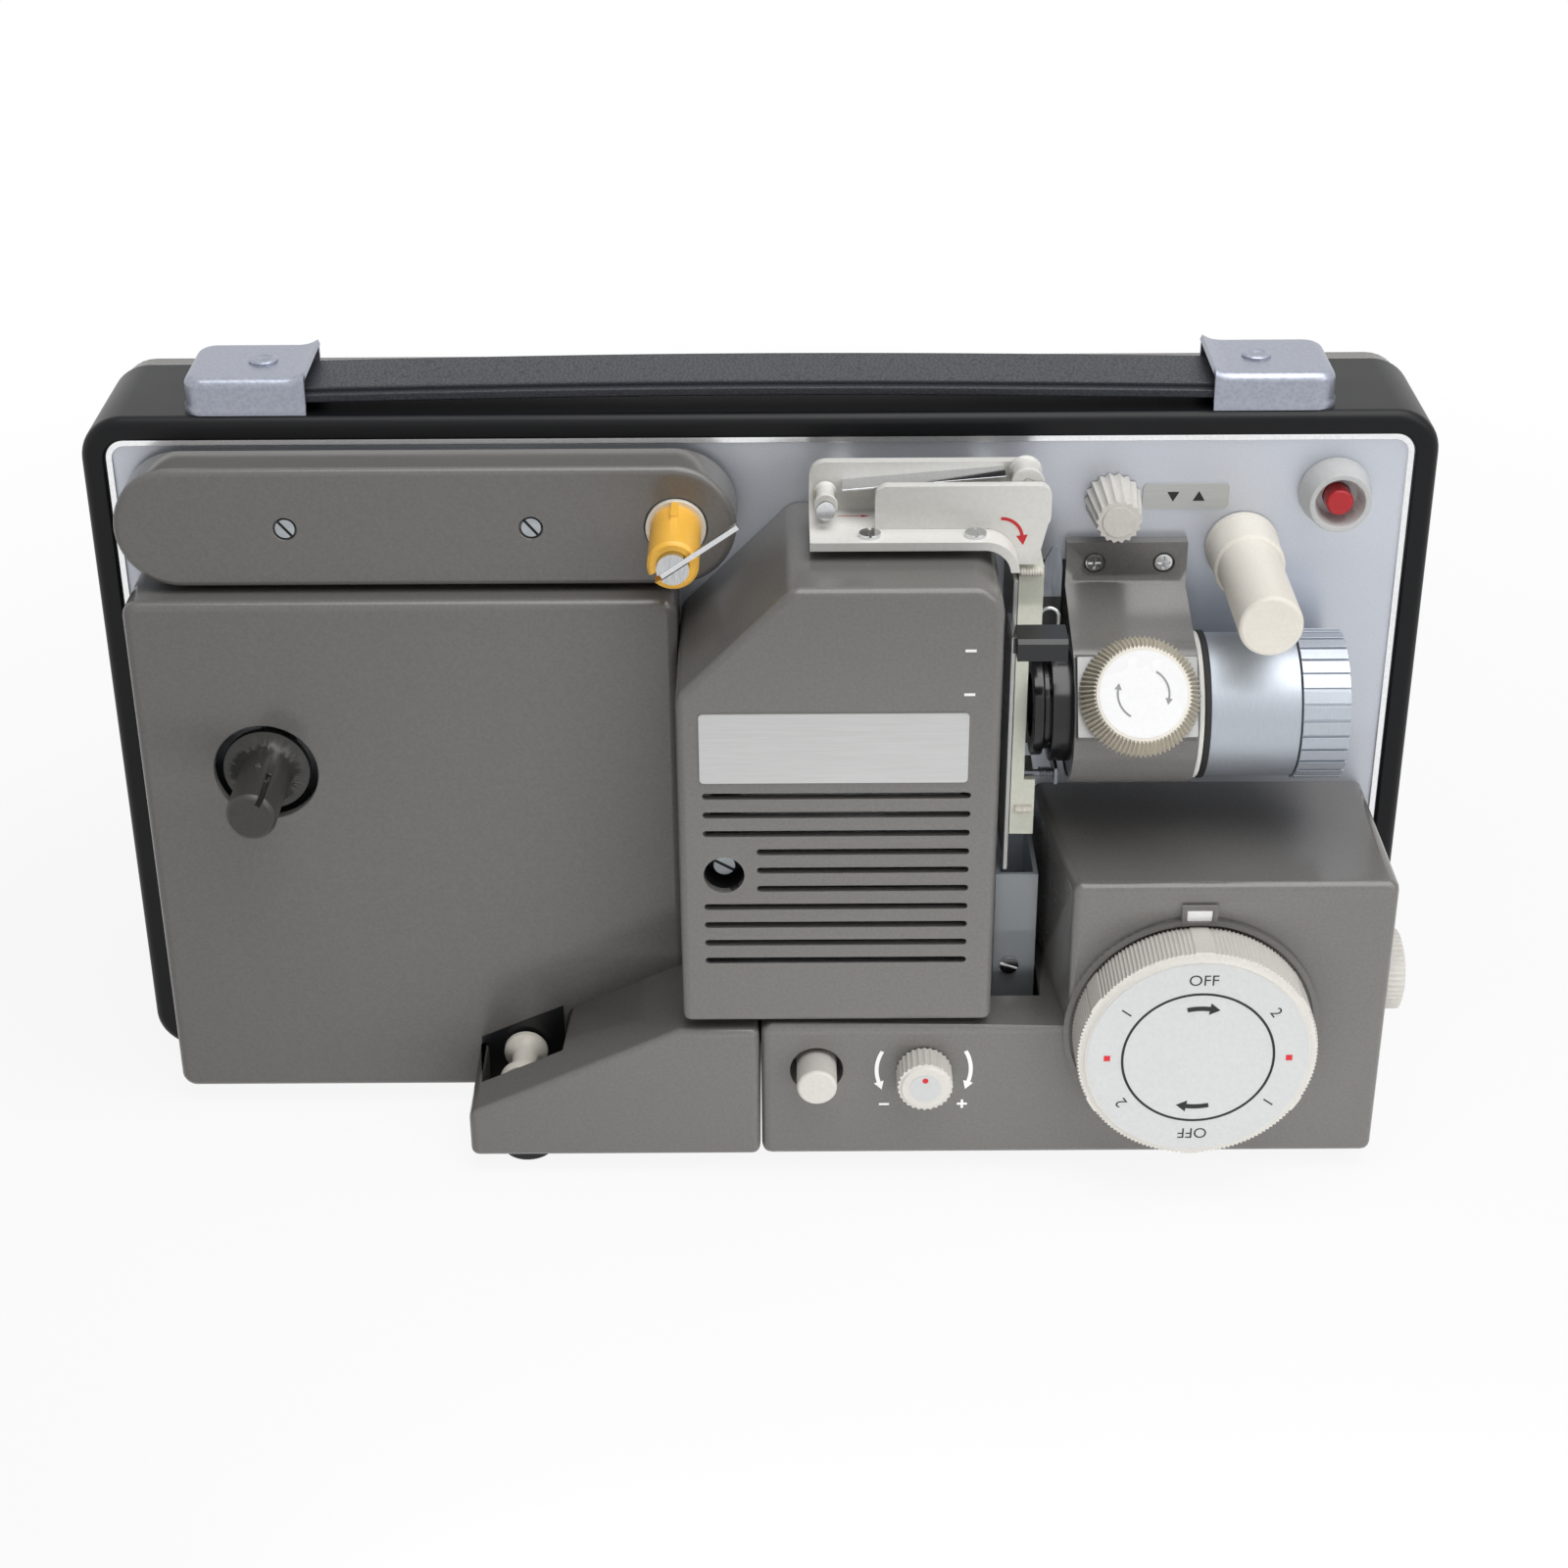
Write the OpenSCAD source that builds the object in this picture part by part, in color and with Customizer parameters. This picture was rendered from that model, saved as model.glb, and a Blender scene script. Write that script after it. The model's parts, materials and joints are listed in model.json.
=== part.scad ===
// Small-gauge movie projector with a folding supply arm, a louvred lamphouse and a zoom lens.
// +X points the way the lens throws the picture, -Y is the threading side, +Z is up.
// Sizes are in millimetres. Each shape is drawn from the front of the panel (y = 0)
// and from the underside of the case (z = 0), and in_frame() puts it in the part's own frame.

/* [Case] */
// Width of the case over its rim
case_w = 334; // [326:1:346]
// Height of the case without its feet
case_h = 184.5; // [182:0.5:194]
// Outer corner radius of the case
corner_r = 11; // [8:0.5:14]
// Width of the rim round the front panel
rim_w = 6; // [4.5:0.5:7]
// How far the rim stands in front of the panel
rim_proud = 2; // [1:0.25:2.25]
// Depth of the band behind the front of the panel
band_depth = 36; // [33:0.5:42]
// Depth of the rear cover behind the band
rear_depth = 54; // [52:0.5:66]
// How much the rear cover draws in at its back
rear_taper = 20; // [14:0.5:22]
// Step from the band down to the rear cover
rear_step = 1.2; // [0.5:0.1:2]
// Wall of the band and of the rear cover
case_wall = 3; // [2:0.25:4]
// Height of the rubber feet
foot_h = 5; // [3:0.5:8]
// Radius of the rubber feet
foot_r = 7; // [5:0.5:9]
// Thickness of the front panel
panel_t = 2.5; // [1.5:0.25:3.5]
// Width of the bright lip round the panel
lip_w = 1.6; // [1:0.1:2.5]
// Height of the bright lip over the panel
lip_h = 0.8; // [0.4:0.1:1]

/* [Handle] */
// Length of each handle cap
cap_l = 30; // [28:0.5:34]
// Width of each handle cap
cap_w = 27; // [24:0.5:29]
// Height of each handle cap
cap_h = 9; // [8:0.5:12]
// Sheet thickness of the caps
cap_t = 1.2; // [0.8:0.1:1.6]
// Distance of each cap's centre from the middle of the case
cap_x = 125.8; // [118:0.2:130]
// Thickness of the strap
strap_t = 3.4; // [2.5:0.1:4]
// How far the strap can lift in its caps
strap_lift = 1.8; // [1:0.1:2]

/* [Front covers] */
// Depth of the take-up cover on the left
cover_depth = 21; // [19:0.5:24]
// Left edge of the take-up cover
cover_left = -157.2; // [-158:0.1:-152]
// Height of the take-up cover
cover_h = 143.6; // [141:0.1:144]
// Depth of the lamphouse and of the lower housings
box_depth = 53; // [50:0.5:58]
// Height of the base under the lamphouse
base_h = 40; // [37:0.5:40.5]
// Left end of the base
base_left = -76.3; // [-82:0.1:-74]
// Seam between the base cover and the control housing
base_seam = -1.2; // [-6:0.1:4]
// Height of the base at its low left end
ramp_low = 13.5; // [12:0.5:18]
// Width of the film exit in the ramp
exit_w = 21.5; // [18:0.5:24]
// Depth of the film exit in front of the take-up cover
exit_d = 19; // [17:0.5:22]
// Left side of the control box at the panel
control_left = 70.6; // [70:0.1:73]
// Draw-in of the control box's left side towards the front
control_draw = 6; // [3:0.5:8]
// Right side of the control box
control_right = 157; // [154:0.5:158]
// Height of the control box
control_h = 81; // [78:0.5:83]
// Wall of the moulded covers
cover_wall = 2.4; // [1.8:0.1:3]

/* [Lamphouse] */
// Left side of the lamphouse
lamp_left = -20.4; // [-20.4:0.1:-18]
// Right side of the lamphouse
lamp_right = 57.2; // [56:0.1:57.6]
// Top of the lamphouse
lamp_top = 160.9; // [160:0.1:162]
// Size of the sloped corner at its upper left
lamp_slope = 27.8; // [24:0.2:30]
// Corner radius at its upper right
lamp_corner = 7; // [4:0.5:8]
// Number of louvres
louvre_n = 10; // [8:1:11]
// Height of the top louvre
louvre_top = 106.6; // [104:0.1:110]
// Distance from louvre to louvre
louvre_pitch = 5.18; // [4.6:0.02:5.4]
// Height of one louvre slot
louvre_slot = 1.7; // [1.2:0.1:2.2]
// Radius of the hole for the cover screw
screw_hole_r = 5; // [4:0.25:6]

/* [Supply arm] */
// Half width of the arm and radius of its round ends
arm_r = 15.5; // [14.5:0.1:15.8]
// Height of the arm's centre line
arm_z = 160.8; // [160:0.1:161]
// Arm pivot, from the middle of the case
arm_pivot_x = -142.4; // [-143:0.1:-139]
// Distance from the arm pivot to the centre of its right end
arm_reach = 121.1; // [115:0.1:123]
// Front of the arm, from the panel
arm_front = 15.4; // [14:0.1:17]
// Radius of the pivot pin
pivot_r = 4; // [3:0.25:5]
// Radius of the supply spindle, for a reel of the narrow gauge
spindle_r = 6.2; // [6:0.05:6.35]
// Free length of the supply spindle in front of its collar
spindle_l = 22; // [18:0.5:25]
// Length of the reel clip from its pin
clip_l = 18.8; // [14:0.2:22]
// Turn of the reel clip from level
clip_turn = 34.6; // [20:0.2:50]

/* [Take-up] */
// Take-up axis, from the middle of the case
takeup_x = -125.6; // [-128:0.1:-122]
// Take-up axis, height
takeup_z = 96.6; // [94:0.1:99]
// Radius of the hole round the take-up flange
takeup_hole_r = 13.1; // [12:0.1:14.5]
// Radius of the take-up spindle
takeup_r = 6.3; // [6:0.05:6.35]
// Tip of the take-up spindle, from the panel
takeup_tip = 44.75; // [42:0.25:48]

/* [Film path] */
// Centre of the film, from the panel
film_y = 21; // [20.5:0.1:22]
// Height of the optical axis
lens_z = 114.7; // [113.5:0.1:115.5]
// Width of the film channel
film_w = 9.4; // [9:0.1:10]
// Left end of the upper guide
guide_left = 11.8; // [9:0.1:14]
// Right end of the upper guide
guide_right = 69; // [66:0.1:69.5]
// Underside of the upper guide's ledge
guide_z = 163.4; // [163.4:0.1:164.5]
// Top of the upper guide's back wall
guide_top = 178; // [176:0.1:179]
// Thickness of the guide walls
guide_t = 2.6; // [2:0.1:3]
// Width of the ledge in front of the guide
ledge_w = 8; // [7:0.25:9]
// Left face of the pressure gate
gate_x = 62.4; // [62.2:0.1:62.8]
// Thickness of the gate strip at its ends
gate_t = 6; // [5:0.1:6.2]

/* [Lens] */
// Radius of the lens barrel
barrel_r = 17.9; // [17:0.05:18]
// Radius of the lens holder
holder_r = 19.5; // [19.3:0.05:20]
// Left face of the lens holder
holder_left = 76.2; // [76:0.1:78]
// Length of the lens holder
holder_l = 30.2; // [29:0.1:31]
// Right end of the lens
lens_right = 143.5; // [140:0.1:150]
// Length of the zoom ring
ring_l = 11.6; // [9:0.1:13]
// Radius of the zoom ring
ring_r = 18.7; // [18.6:0.05:19]
// Radius of the focus knob over its teeth
focus_r = 14.9; // [13:0.1:15]
// Radius of the focus knob's front disc
focus_disc_r = 11.3; // [9:0.1:12]
// Upward tilt of the focus knob's axis
focus_tilt = 32; // [28:1:36]

/* [Controls] */
// Main switch axis, from the middle of the case
dial_x = 107.75; // [106:0.25:112]
// Main switch axis, height
dial_z = 39.6; // [39:0.1:42]
// Radius of the main switch knob
dial_r = 30; // [27:0.25:31]
// Depth of the main switch knob
dial_h = 13.2; // [11:0.2:15]
// Height of the two buttons on the base
button_z = 26.8; // [24:0.2:28]
// Slow button, from the middle of the case
slow_x = 13.3; // [10:0.1:16]
// Radius of the slow button
slow_r = 5.1; // [4.5:0.1:5.6]
// Speed knob, from the middle of the case
speed_x = 40.6; // [37:0.1:44]
// Radius of the speed knob
speed_r = 7.1; // [6:0.1:8]
// Inching knob, from the middle of the case
inch_x = 120.3; // [119:0.1:122]
// Inching knob, height
inch_z = 148.6; // [148:0.1:150]
// Radius of the inching knob's wide stage
inch_r = 8.8; // [8:0.1:9]
// Tip of the inching knob, from the panel
inch_tip = 48.2; // [44:0.2:52]
// Framing knob, from the middle of the case
framing_x = 87.4; // [84:0.1:90]
// Framing knob, height
framing_z = 161.3; // [160.5:0.1:163]
// Radius of the framing knob at the panel
framing_r = 7.2; // [5.5:0.1:8]
// Push button, from the middle of the case
push_x = 142.3; // [140:0.1:146]
// Push button, height
push_z = 163.1; // [161:0.1:165]
// Radius of the push button
push_r = 3.35; // [3:0.05:3.8]
// Tilt knob axis, height
tilt_z = 47; // [44:0.5:52]
// Tilt knob axis, from the panel
tilt_y = 38; // [36:0.5:40]
// Radius of the tilt knob
tilt_r = 10.25; // [10:0.25:13]

/* [Drive] */
// Shutter shaft behind the front of the panel
shutter_y = 9.5; // [9.2:0.1:9.8]
// Height of the shutter shaft
shutter_z = 117; // [116:0.1:118]
// Radius of the shutter disc
shutter_r = 40.5; // [40:0.1:41]
// Front of the chassis plate, behind the front of the panel
chassis_y = 15; // [14.5:0.1:17]
// Thickness of the chassis plate
chassis_t = 2; // [1.5:0.1:3]
// Motor axis, from the middle of the case
motor_x = 92; // [90:0.5:96]
// Motor axis, height
motor_z = 56; // [52:0.5:60]
// Radius of the motor
motor_r = 28; // [24:0.5:29]
// Radius of the main pulley
main_pulley_r = 22; // [18:0.5:24]
// Radius of the take-up pulley
takeup_pulley_r = 20; // [16:0.5:22]

/* [Fits] */
// Radial clearance of a shaft that runs in its bore
run = 0.05; // [0.02:0.01:0.1]
// Gap between pieces that move past each other
gap = 0.3; // [0.25:0.05:0.4]

/* [Hidden] */
$fn = 64;
eps = 0.01;

// The X and Z positions above are given for a case of this width and height. When the case changes,
// the mechanism keeps its place from the right side, the take-up side follows the left side,
// and the upper pieces follow the top.
layout_w = 334;
layout_h = 184.5;
left_shift = layout_w - case_w;
lift = case_h - layout_h;
case_right = layout_w / 2;
case_left = case_right - case_w;
case_mid = (case_left + case_right) / 2;
cover_x = cover_left + left_shift;
pivot_x = arm_pivot_x + left_shift;
takeup_axis_x = takeup_x + left_shift;
arm_axis_z = arm_z + lift;
cover_top = cover_h + lift;
control_top = control_h + lift;
lamp_high = lamp_top + lift;
guide_low = guide_z + lift;
guide_high = guide_top + lift;
optic_z = lens_z + lift;
inch_axis_z = inch_z + lift;
framing_axis_z = framing_z + lift;
push_axis_z = push_z + lift;
shutter_axis_z = shutter_z + lift;

// The frame's origin is under the middle of the whole object
dial_gap = 0.8;
front_reach = box_depth + dial_gap + dial_h;
rear_y = band_depth + rear_depth;
panel_y = (front_reach - rear_y) / 2;

// Case and panel
panel_left = case_left + rim_w;
panel_right = case_right - rim_w;
panel_low = rim_w;
panel_high = case_h - rim_w;
seat_w = 3;
seat_l = 4;
inner_r = corner_r - rim_w;
chassis_side = 7;
chassis_low = 4;
chassis_high = 4.5;
foot_in = 22;

// Handle
cap_corner = 5;
cap_foot = 0.5;
cap_foot_h = 1.8;
cap_flare = 1.4;
cap_boss_r = 3.6;
cap_boss_h = 0.9;

// Supply arm
arm_back = rim_proud + 2 * gap;
arm_end_x = arm_pivot_x + arm_reach;
spindle_x = arm_end_x + 0.7;
arm_skin = 2.5;
collar_r = spindle_r + 1.2;
hub_shaft_r = 3;
stud_r = 3.9;
stud_proud = 2.1;
clip_t = 1.2;
clip_w = 1.6;
clip_tail = 3.4;
clip_pin_r = 0.5;
clip_y = arm_front + 1.1 + spindle_l + 0.2 + clip_w / 2;
arm_screw_x = [pivot_x + 26.5, arm_end_x - 34.6];
arm_screw_r = 2.4;

// Lamphouse
lamp_low = base_h + 1.4;
lamp_wall = 2.2;
louvre_left = lamp_left + 6;
louvre_right = lamp_right - 7.6;
screw_x = lamp_left + 11;
screw_z = louvre_top - 4.25 * louvre_pitch;
window_r = 9;
screw_cup = 9;
lamp_x = 4;
lamp_neck_r = 6;
lamp_neck_l = 4;
mirror_r = 18.5;
mirror_l = 26;
mirror_t = 1.2;
mirror_steps = 8;
bulb_r = 4.5;
bulb_l = 14;
lamp_pin = 1.6;

// Film path
guide_back = film_y - film_w / 2;
plate_back = film_y + film_w / 2;
plate_front = plate_back + guide_t;
ledge_front = plate_front + ledge_w;
ledge_t = 2.2;
leg_right = gate_x - 0.4;
leg_left = lamp_right + 0.8;
roller_left = [guide_left + 3.9, guide_low + 7.1];
roller_left_r = 2.9;
roller_right = [guide_right - 5.2, guide_high - 2.2];
roller_right_r = 4;
roller_pin_r = 1.2;
guide_screw_a = 14.3;
guide_screw_b = 39.4;
guide_screw_x = [guide_left + guide_screw_a, guide_left + guide_screw_b];
corner_out_r = lamp_corner + 1.6;
corner_x = lamp_right - 4;
corner_z = guide_low + ledge_t - corner_out_r;
gate_top = 155 + lift;
gate_low = 81 + lift;
gate_front = film_y + 6;
gate_back = film_y - 7;
gate_thin = 3.2;
aperture_t = 1;
aperture_x = gate_x - 0.35 - aperture_t;
aperture_low = 71.5 + lift;
selector_front = 46;
selector_back = 37;
selector_z = [139 + lift, 144.4 + lift];
selector_left = gate_x - 1.4;
selector_right = gate_x + 10.6;
gate_stud_z = [97 + lift, 148 + lift];
bracket_half = 2.2;
gate_stud_y = 24;
gate_stud_r = 0.9;
gate_travel = 0.5;
gate_spring_l = 4.1;
spring_wire = 0.2;
spring_turns = 5;
spring_mean_r = gate_stud_r + 0.3 + spring_wire;
spring_l = gate_spring_l - 2 * spring_wire;
lower_left = 59.2;
lower_right = 70;
lower_top = 70.8 + lift;
lower_low = 24;
lower_front = 30;
pocket_back = 39;
exit_roller_r = 5.8;
exit_pin_r = 1.5;
exit_roller_x = base_left + 12.6;
exit_roller_z = 13;

// Lens
holder_right = holder_left + holder_l;
bore_r = barrel_r + run;
flange_t = 3.6;
flange_z = [139.4 + lift, 151 + lift];
holder_screw_x = [holder_left + 7.1, holder_right - 5.8];
holder_screw_z = 145.4 + lift;
rear_barrel_r = 14;
rear_barrel_left = 66.9;
lens_back = holder_left + 0.4;
ring_left = lens_right - ring_l;
neck_r = barrel_r - 1.6;
lens_hole_r = 12.5;
focus_pad = holder_r + 0.5;
focus_x = (holder_left + holder_right) / 2 + 0.4;
focus_shaft_r = 3.6;
focus_h = 7.4;
focus_teeth = 76;

// Controls
dial_shaft_r = 4;
dial_teeth = 168;
dial_bars = 6;
slow_tip = box_depth + 8.2;
slow_hole_r = slow_r + 1.7;
speed_tip = box_depth + 8.4;
speed_shaft_r = 3;
inch_shaft_r = 3.5;
index_half = 4.4;
index_low = dial_z + dial_r + 0.6;
index_h = 5.4;
index_proud = 1.6;
bezel_r = 8.2;
bezel_h = 8.5;
tilt_shaft_r = 3;
tilt_pinion_r = 6;
tilt_rod_r = 4;
tilt_rod_x = 128;
tilt_rod_y = tilt_y - tilt_pinion_r - tilt_rod_r - gap;
tilt_knob_l = 4.6;
tilt_rod_drop = 18;

// Drive
shutter_x = lamp_right - lamp_wall - 2.2;
shutter_t = 0.8;
shutter_shaft_r = 2.5;
shutter_gear_r = 4.5;
shutter_end = inch_x + 6;
slot_margin = 0.8;
main_gear_r = inch_axis_z - shutter_axis_z - shutter_gear_r - gap;
gear_half = 2;
bearing_a = [62, 70];
bearing_b = [102, 110];
main_bush_r = 7;
belt_t = 1.5;
belt_w = 4;
drive_pulley_y = chassis_y + chassis_t + 12;
takeup_drive_y = shutter_y + shutter_r + 3;
takeup_drive_r = 9;
motor_pulley_r = 6;
motor_front = drive_pulley_y + belt_w + 4;
motor_l = 38;
motor_shaft_r = 2.5;
fan_r = 26;
fan_l = 8;
hub_bore_r = hub_shaft_r + run;
takeup_shaft_r = 4;
standoff_in = 19;
standoffs = [[case_left + standoff_in, 16], [case_left + standoff_in, 128 + lift], [-20, 22],
             [-92 + left_shift, 140 + lift], [149, 104 + lift], [30, 168 + lift]];
rear_screw_in = 29;
rear_screw_z = [14, case_h - 34.5];
rear_screw_pos = [for (x = [case_left + rear_screw_in, case_right - rear_screw_in], z = rear_screw_z) [x, z]];
core_left = -40;
core_right = 14;
core_low = 16;
core_high = 60;
core_d = 40;
coil_in = 8;
coil_d = 12;
inlet_x = case_left + 55;
inlet_z = 35;
inlet_w = 24;
inlet_h = 18;
inlet_wall = 3;
inlet_pin = 4;

case_black = "#17181b";
cover_grey = "#6d6964";
panel_silver = "#b9bdc4";
cream = "#dad6c8";
steel = "#c3c5c8";
bright = "#e6e7e9";
dark_grey = "#4b4c4e";
black = "#141416";

// Helpers

module in_frame() { translate([-case_mid, panel_y, foot_h]) children(); }

// A round bar along Y, from y = -front to y = -back
module bar_y(x, z, r, front, back) {
    translate([x, -front, z]) rotate([-90, 0, 0]) cylinder(h = front - back, r = r);
}

// A round bar along X at depth front
module bar_x(front, z, r, left, right) {
    translate([left, -front, z]) rotate([0, 90, 0]) cylinder(h = right - left, r = r);
}

module bar_z(x, front, r, low, high) { translate([x, -front, low]) cylinder(h = high - low, r = r); }

// An outline in X and Z, from y = -front to y = -back
module slab(front, back) {
    translate([0, -back, 0]) rotate([90, 0, 0]) linear_extrude(front - back) children();
}

// An outline in Y and Z, from x = left to x = right
module rail(left, right) {
    translate([left, 0, 0]) rotate([90, 0, 90]) linear_extrude(right - left) children();
}

module block(x, y, z) { translate([x[0], -y[0], z[0]]) cube([x[1] - x[0], y[0] - y[1], z[1] - z[0]]); }

// A rectangle with round corners, from its sides
module round_rect(left, right, low, high, r) {
    translate([left + r, low]) square([right - left - 2 * r, high - low]);
    translate([left, low + r]) square([right - left, high - low - 2 * r]);
    for (x = [left + r, right - r], z = [low + r, high - r]) translate([x, z]) circle(r);
}

// A band with round ends between two points on one level
module stadium(x0, x1, z, r) {
    translate([x0, z - r]) square([x1 - x0, 2 * r]);
    for (x = [x0, x1]) translate([x, z]) circle(r);
}

// A turned shape on an axis along Y: points are [radius, distance in front of the panel]
module turned_y(x, z, points) { translate([x, 0, z]) rotate([90, 0, 0]) rotate_extrude() polygon(points); }

// A turned shape on the optical axis: points are [radius, x]
module turned_x(front, z, points) {
    translate([0, -front, z]) rotate([0, 90, 0]) rotate_extrude() polygon(points);
}

// A toothed disc; where it has bars, the rim stays smooth for bar_half degrees on each side of one
module toothed(r, depth, count, bars = 0, bar_half = 0) {
    polygon([for (i = [0 : 2 * count - 1])
        let (a = 180 * i / count, off = bars == 0 ? 90 : abs(((a + 90) % (360 / bars)) - 180 / bars))
        let (smooth = bars > 0 && off > 180 / bars - bar_half)
        (smooth || i % 2 == 0 ? r : r - depth) * [cos(a), sin(a)]]);
}

// A circle with flat ribs between narrow grooves, whose share of the pitch is given
module ribbed(r, depth, count, groove) {
    pitch = 360 / count;
    rib = 1 - groove;
    polygon([for (i = [0 : count - 1], step = [[0, r], [rib, r], [rib, r - depth], [1, r - depth]])
        let (a = pitch * (i + step[0])) step[1] * [cos(a), sin(a)]]);
}

module toothed_y(x, z, front, back, r, depth, count, bars = 0, bar_half = 0) {
    translate([x, -back, z]) rotate([90, 0, 0])
        linear_extrude(front - back) toothed(r, depth, count, bars, bar_half);
}

module slot_head(x, z, r, front, back, turn) {
    difference() {
        bar_y(x, z, r, front, back);
        translate([x, -front, z]) rotate([0, turn, 0]) cube([2 * r + 1, 1, 0.7], center = true);
    }
}

// Case

module case_outline() { round_rect(case_left, case_right, 0, case_h, corner_r); }
module panel_outline(grow = 0) {
    round_rect(panel_left - grow, panel_right + grow, panel_low - grow, panel_high + grow, inner_r + grow);
}

// The rim in front of the panel, which the covers fit over
module rim_cut() {
    difference() {
        slab(rim_proud, -1) round_rect(case_left - 1, case_right + 1, -1, case_h + 1, corner_r);
        slab(rim_proud + 1, -2) panel_outline();
    }
}

module case_band() {
    color(case_black) in_frame() difference() {
        slab(rim_proud, -band_depth) case_outline();
        slab(rim_proud + 1, -panel_t) panel_outline();
        slab(0, -band_depth - 1)
            round_rect(panel_left + seat_w, panel_right - seat_w, panel_low + seat_w, panel_high - seat_w, 2);
        slab(-panel_t - seat_l, -band_depth - 1)
            round_rect(case_left + case_wall, case_right - case_wall, case_wall, case_h - case_wall,
                       corner_r - case_wall);
    }
}

module rear_form(inset) {
    flat_l = 8;
    drop = inset + rear_taper;
    hull() {
        slab(-band_depth, -band_depth - flat_l)
            round_rect(case_left + rear_step + inset, case_right - rear_step - inset, inset,
                       case_h - rear_step - inset, corner_r - rear_step, $fn = 32);
        slab(-rear_y + inset + 1, -rear_y + inset)
            round_rect(case_left + drop, case_right - drop, inset, case_h - drop, corner_r - rear_step,
                       $fn = 32);
    }
}

module rear_cover() {
    color(cover_grey) in_frame() difference() {
        rear_form(0);
        difference() {
            rear_form(case_wall);
            for (p = rear_screw_pos) bar_y(p[0], p[1], 5, -band_depth, -rear_y);
        }
        slab(-band_depth + 1, -band_depth - case_wall) difference() {
            round_rect(case_left + 2 * case_wall, case_right - 2 * case_wall, case_wall,
                       case_h - 2 * case_wall, 6);
            for (p = rear_screw_pos) translate(p) circle(5);
        }
        for (i = [0 : 13]) slab(-rear_y + 10, -rear_y - 1)
            stadium(motor_x - 26, motor_x + 26, motor_z - 26 + 4 * i, 0.9);
        slab(-rear_y + 10, -rear_y - 1) inlet_outline(gap / 3);
        for (p = rear_screw_pos) bar_y(p[0], p[1], 2.6, -rear_y + 3, -rear_y - 1);
    }
}

module front_panel() {
    color(panel_silver) in_frame() {
        difference() {
            slab(0, -panel_t) panel_outline();
            bar_y(inch_x, inch_axis_z, inch_shaft_r + 0.5, 1, -panel_t - 1);
            bar_y(takeup_axis_x, takeup_z, takeup_shaft_r + 0.5, 1, -panel_t - 1);
            bar_y(pivot_x, arm_axis_z, pivot_r + run, 1, -panel_t - 1);
            bar_y(framing_x, framing_axis_z, 3 + run, 1, -panel_t - 1);
            bar_y(push_x, push_axis_z, push_r + gap, 1, -panel_t - 1);
            shutter_slot();
        }
        difference() {
            slab(lip_h, 0) panel_outline();
            slab(lip_h + 1, -1) panel_outline(-lip_w);
            block([cover_x - 1, control_right + 1], [lip_h + 1, -1], [0, base_h]);
        }
    }
}

module shutter_slot() {
    half = sqrt(pow(shutter_r, 2) - pow(shutter_y, 2)) + slot_margin;
    block([shutter_x - slot_margin, shutter_x + shutter_t + slot_margin], [1, -panel_t - 1],
          [shutter_axis_z - half, shutter_axis_z + half]);
}

module chassis_outline() {
    round_rect(panel_left + chassis_side, panel_right - chassis_side, panel_low + chassis_low,
               panel_high - chassis_high, 4);
}

module chassis_plate() {
    color(steel) in_frame() {
        difference() {
            slab(-chassis_y, -chassis_y - chassis_t) chassis_outline();
            bar_y(inch_x, inch_axis_z, main_bush_r, 0, -band_depth);
            bar_y(takeup_axis_x, takeup_z, takeup_shaft_r + run, 0, -band_depth);
            bar_y(pivot_x, arm_axis_z, pivot_r + run, 0, -band_depth);
            slab(0, -band_depth)
                round_rect(shutter_x - 3, shutter_x + shutter_t + 3, shutter_axis_z - shutter_r - 3,
                           shutter_axis_z + shutter_r + 3, 2);
        }
        for (p = standoffs) bar_y(p[0], p[1], 4, -panel_t, -chassis_y);
        difference() {
            bar_y(takeup_axis_x, takeup_z, takeup_shaft_r + 3, -panel_t, -chassis_y);
            bar_y(takeup_axis_x, takeup_z, takeup_shaft_r + run, 0, -chassis_y - 1);
        }
    }
}

module feet() {
    color(black) in_frame() {
        for (x = [case_left + foot_in, case_right - foot_in]) bar_z(x, -rear_y + 16, foot_r, -foot_h, 0);
        bar_z(base_left + 14, box_depth - 12, foot_r, -foot_h, 0);
    }
}

// Handle

// A cap's plan, round at its outer end; grow widens it
module cap_plan(grow) {
    inner = cap_x - cap_l / 2;
    outer = cap_x + cap_l / 2 + grow;
    r = cap_corner + grow;
    translate([inner, -grow]) square([outer - r - inner, cap_w + 2 * grow]);
    translate([inner, r - grow]) square([outer - inner, cap_w + 2 * grow - 2 * r]);
    for (y = [r - grow, cap_w + grow - r]) translate([outer - r, y]) circle(r);
}

module handle_caps() {
    inner = cap_x - cap_l / 2;
    top = case_h + cap_h;
    color(panel_silver) in_frame() translate([case_mid, 0, 0]) for (side = [0, 1]) mirror([side, 0, 0]) {
        difference() {
            union() {
                translate([0, 0, case_h]) linear_extrude(cap_h) cap_plan(0);
                translate([0, 0, case_h]) linear_extrude(cap_foot_h) cap_plan(cap_foot);
                slab(0, -cap_w) polygon([[inner, top - cap_t], [inner, top + cap_flare], [inner + 4, top]]);
                bar_z(cap_x + 1, -cap_w / 2, cap_boss_r, top, top + cap_boss_h);
            }
            block([inner - 1, cap_x + cap_l / 2 - cap_t], [-cap_t, -cap_w + cap_t],
                  [case_h - 1, top - cap_t]);
            slab(-cap_t, -cap_w + cap_t)
                polygon([[inner - 1, top - 2 * cap_t], [inner - 1, top + cap_flare - cap_t],
                         [inner, top + cap_flare - cap_t], [inner + 4, top - cap_t]]);
            translate([cap_x + 1, cap_w / 2, top + cap_boss_h])
                cube([2 * cap_boss_r, 1, cap_boss_h], center = true);
        }
    }
}

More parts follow.
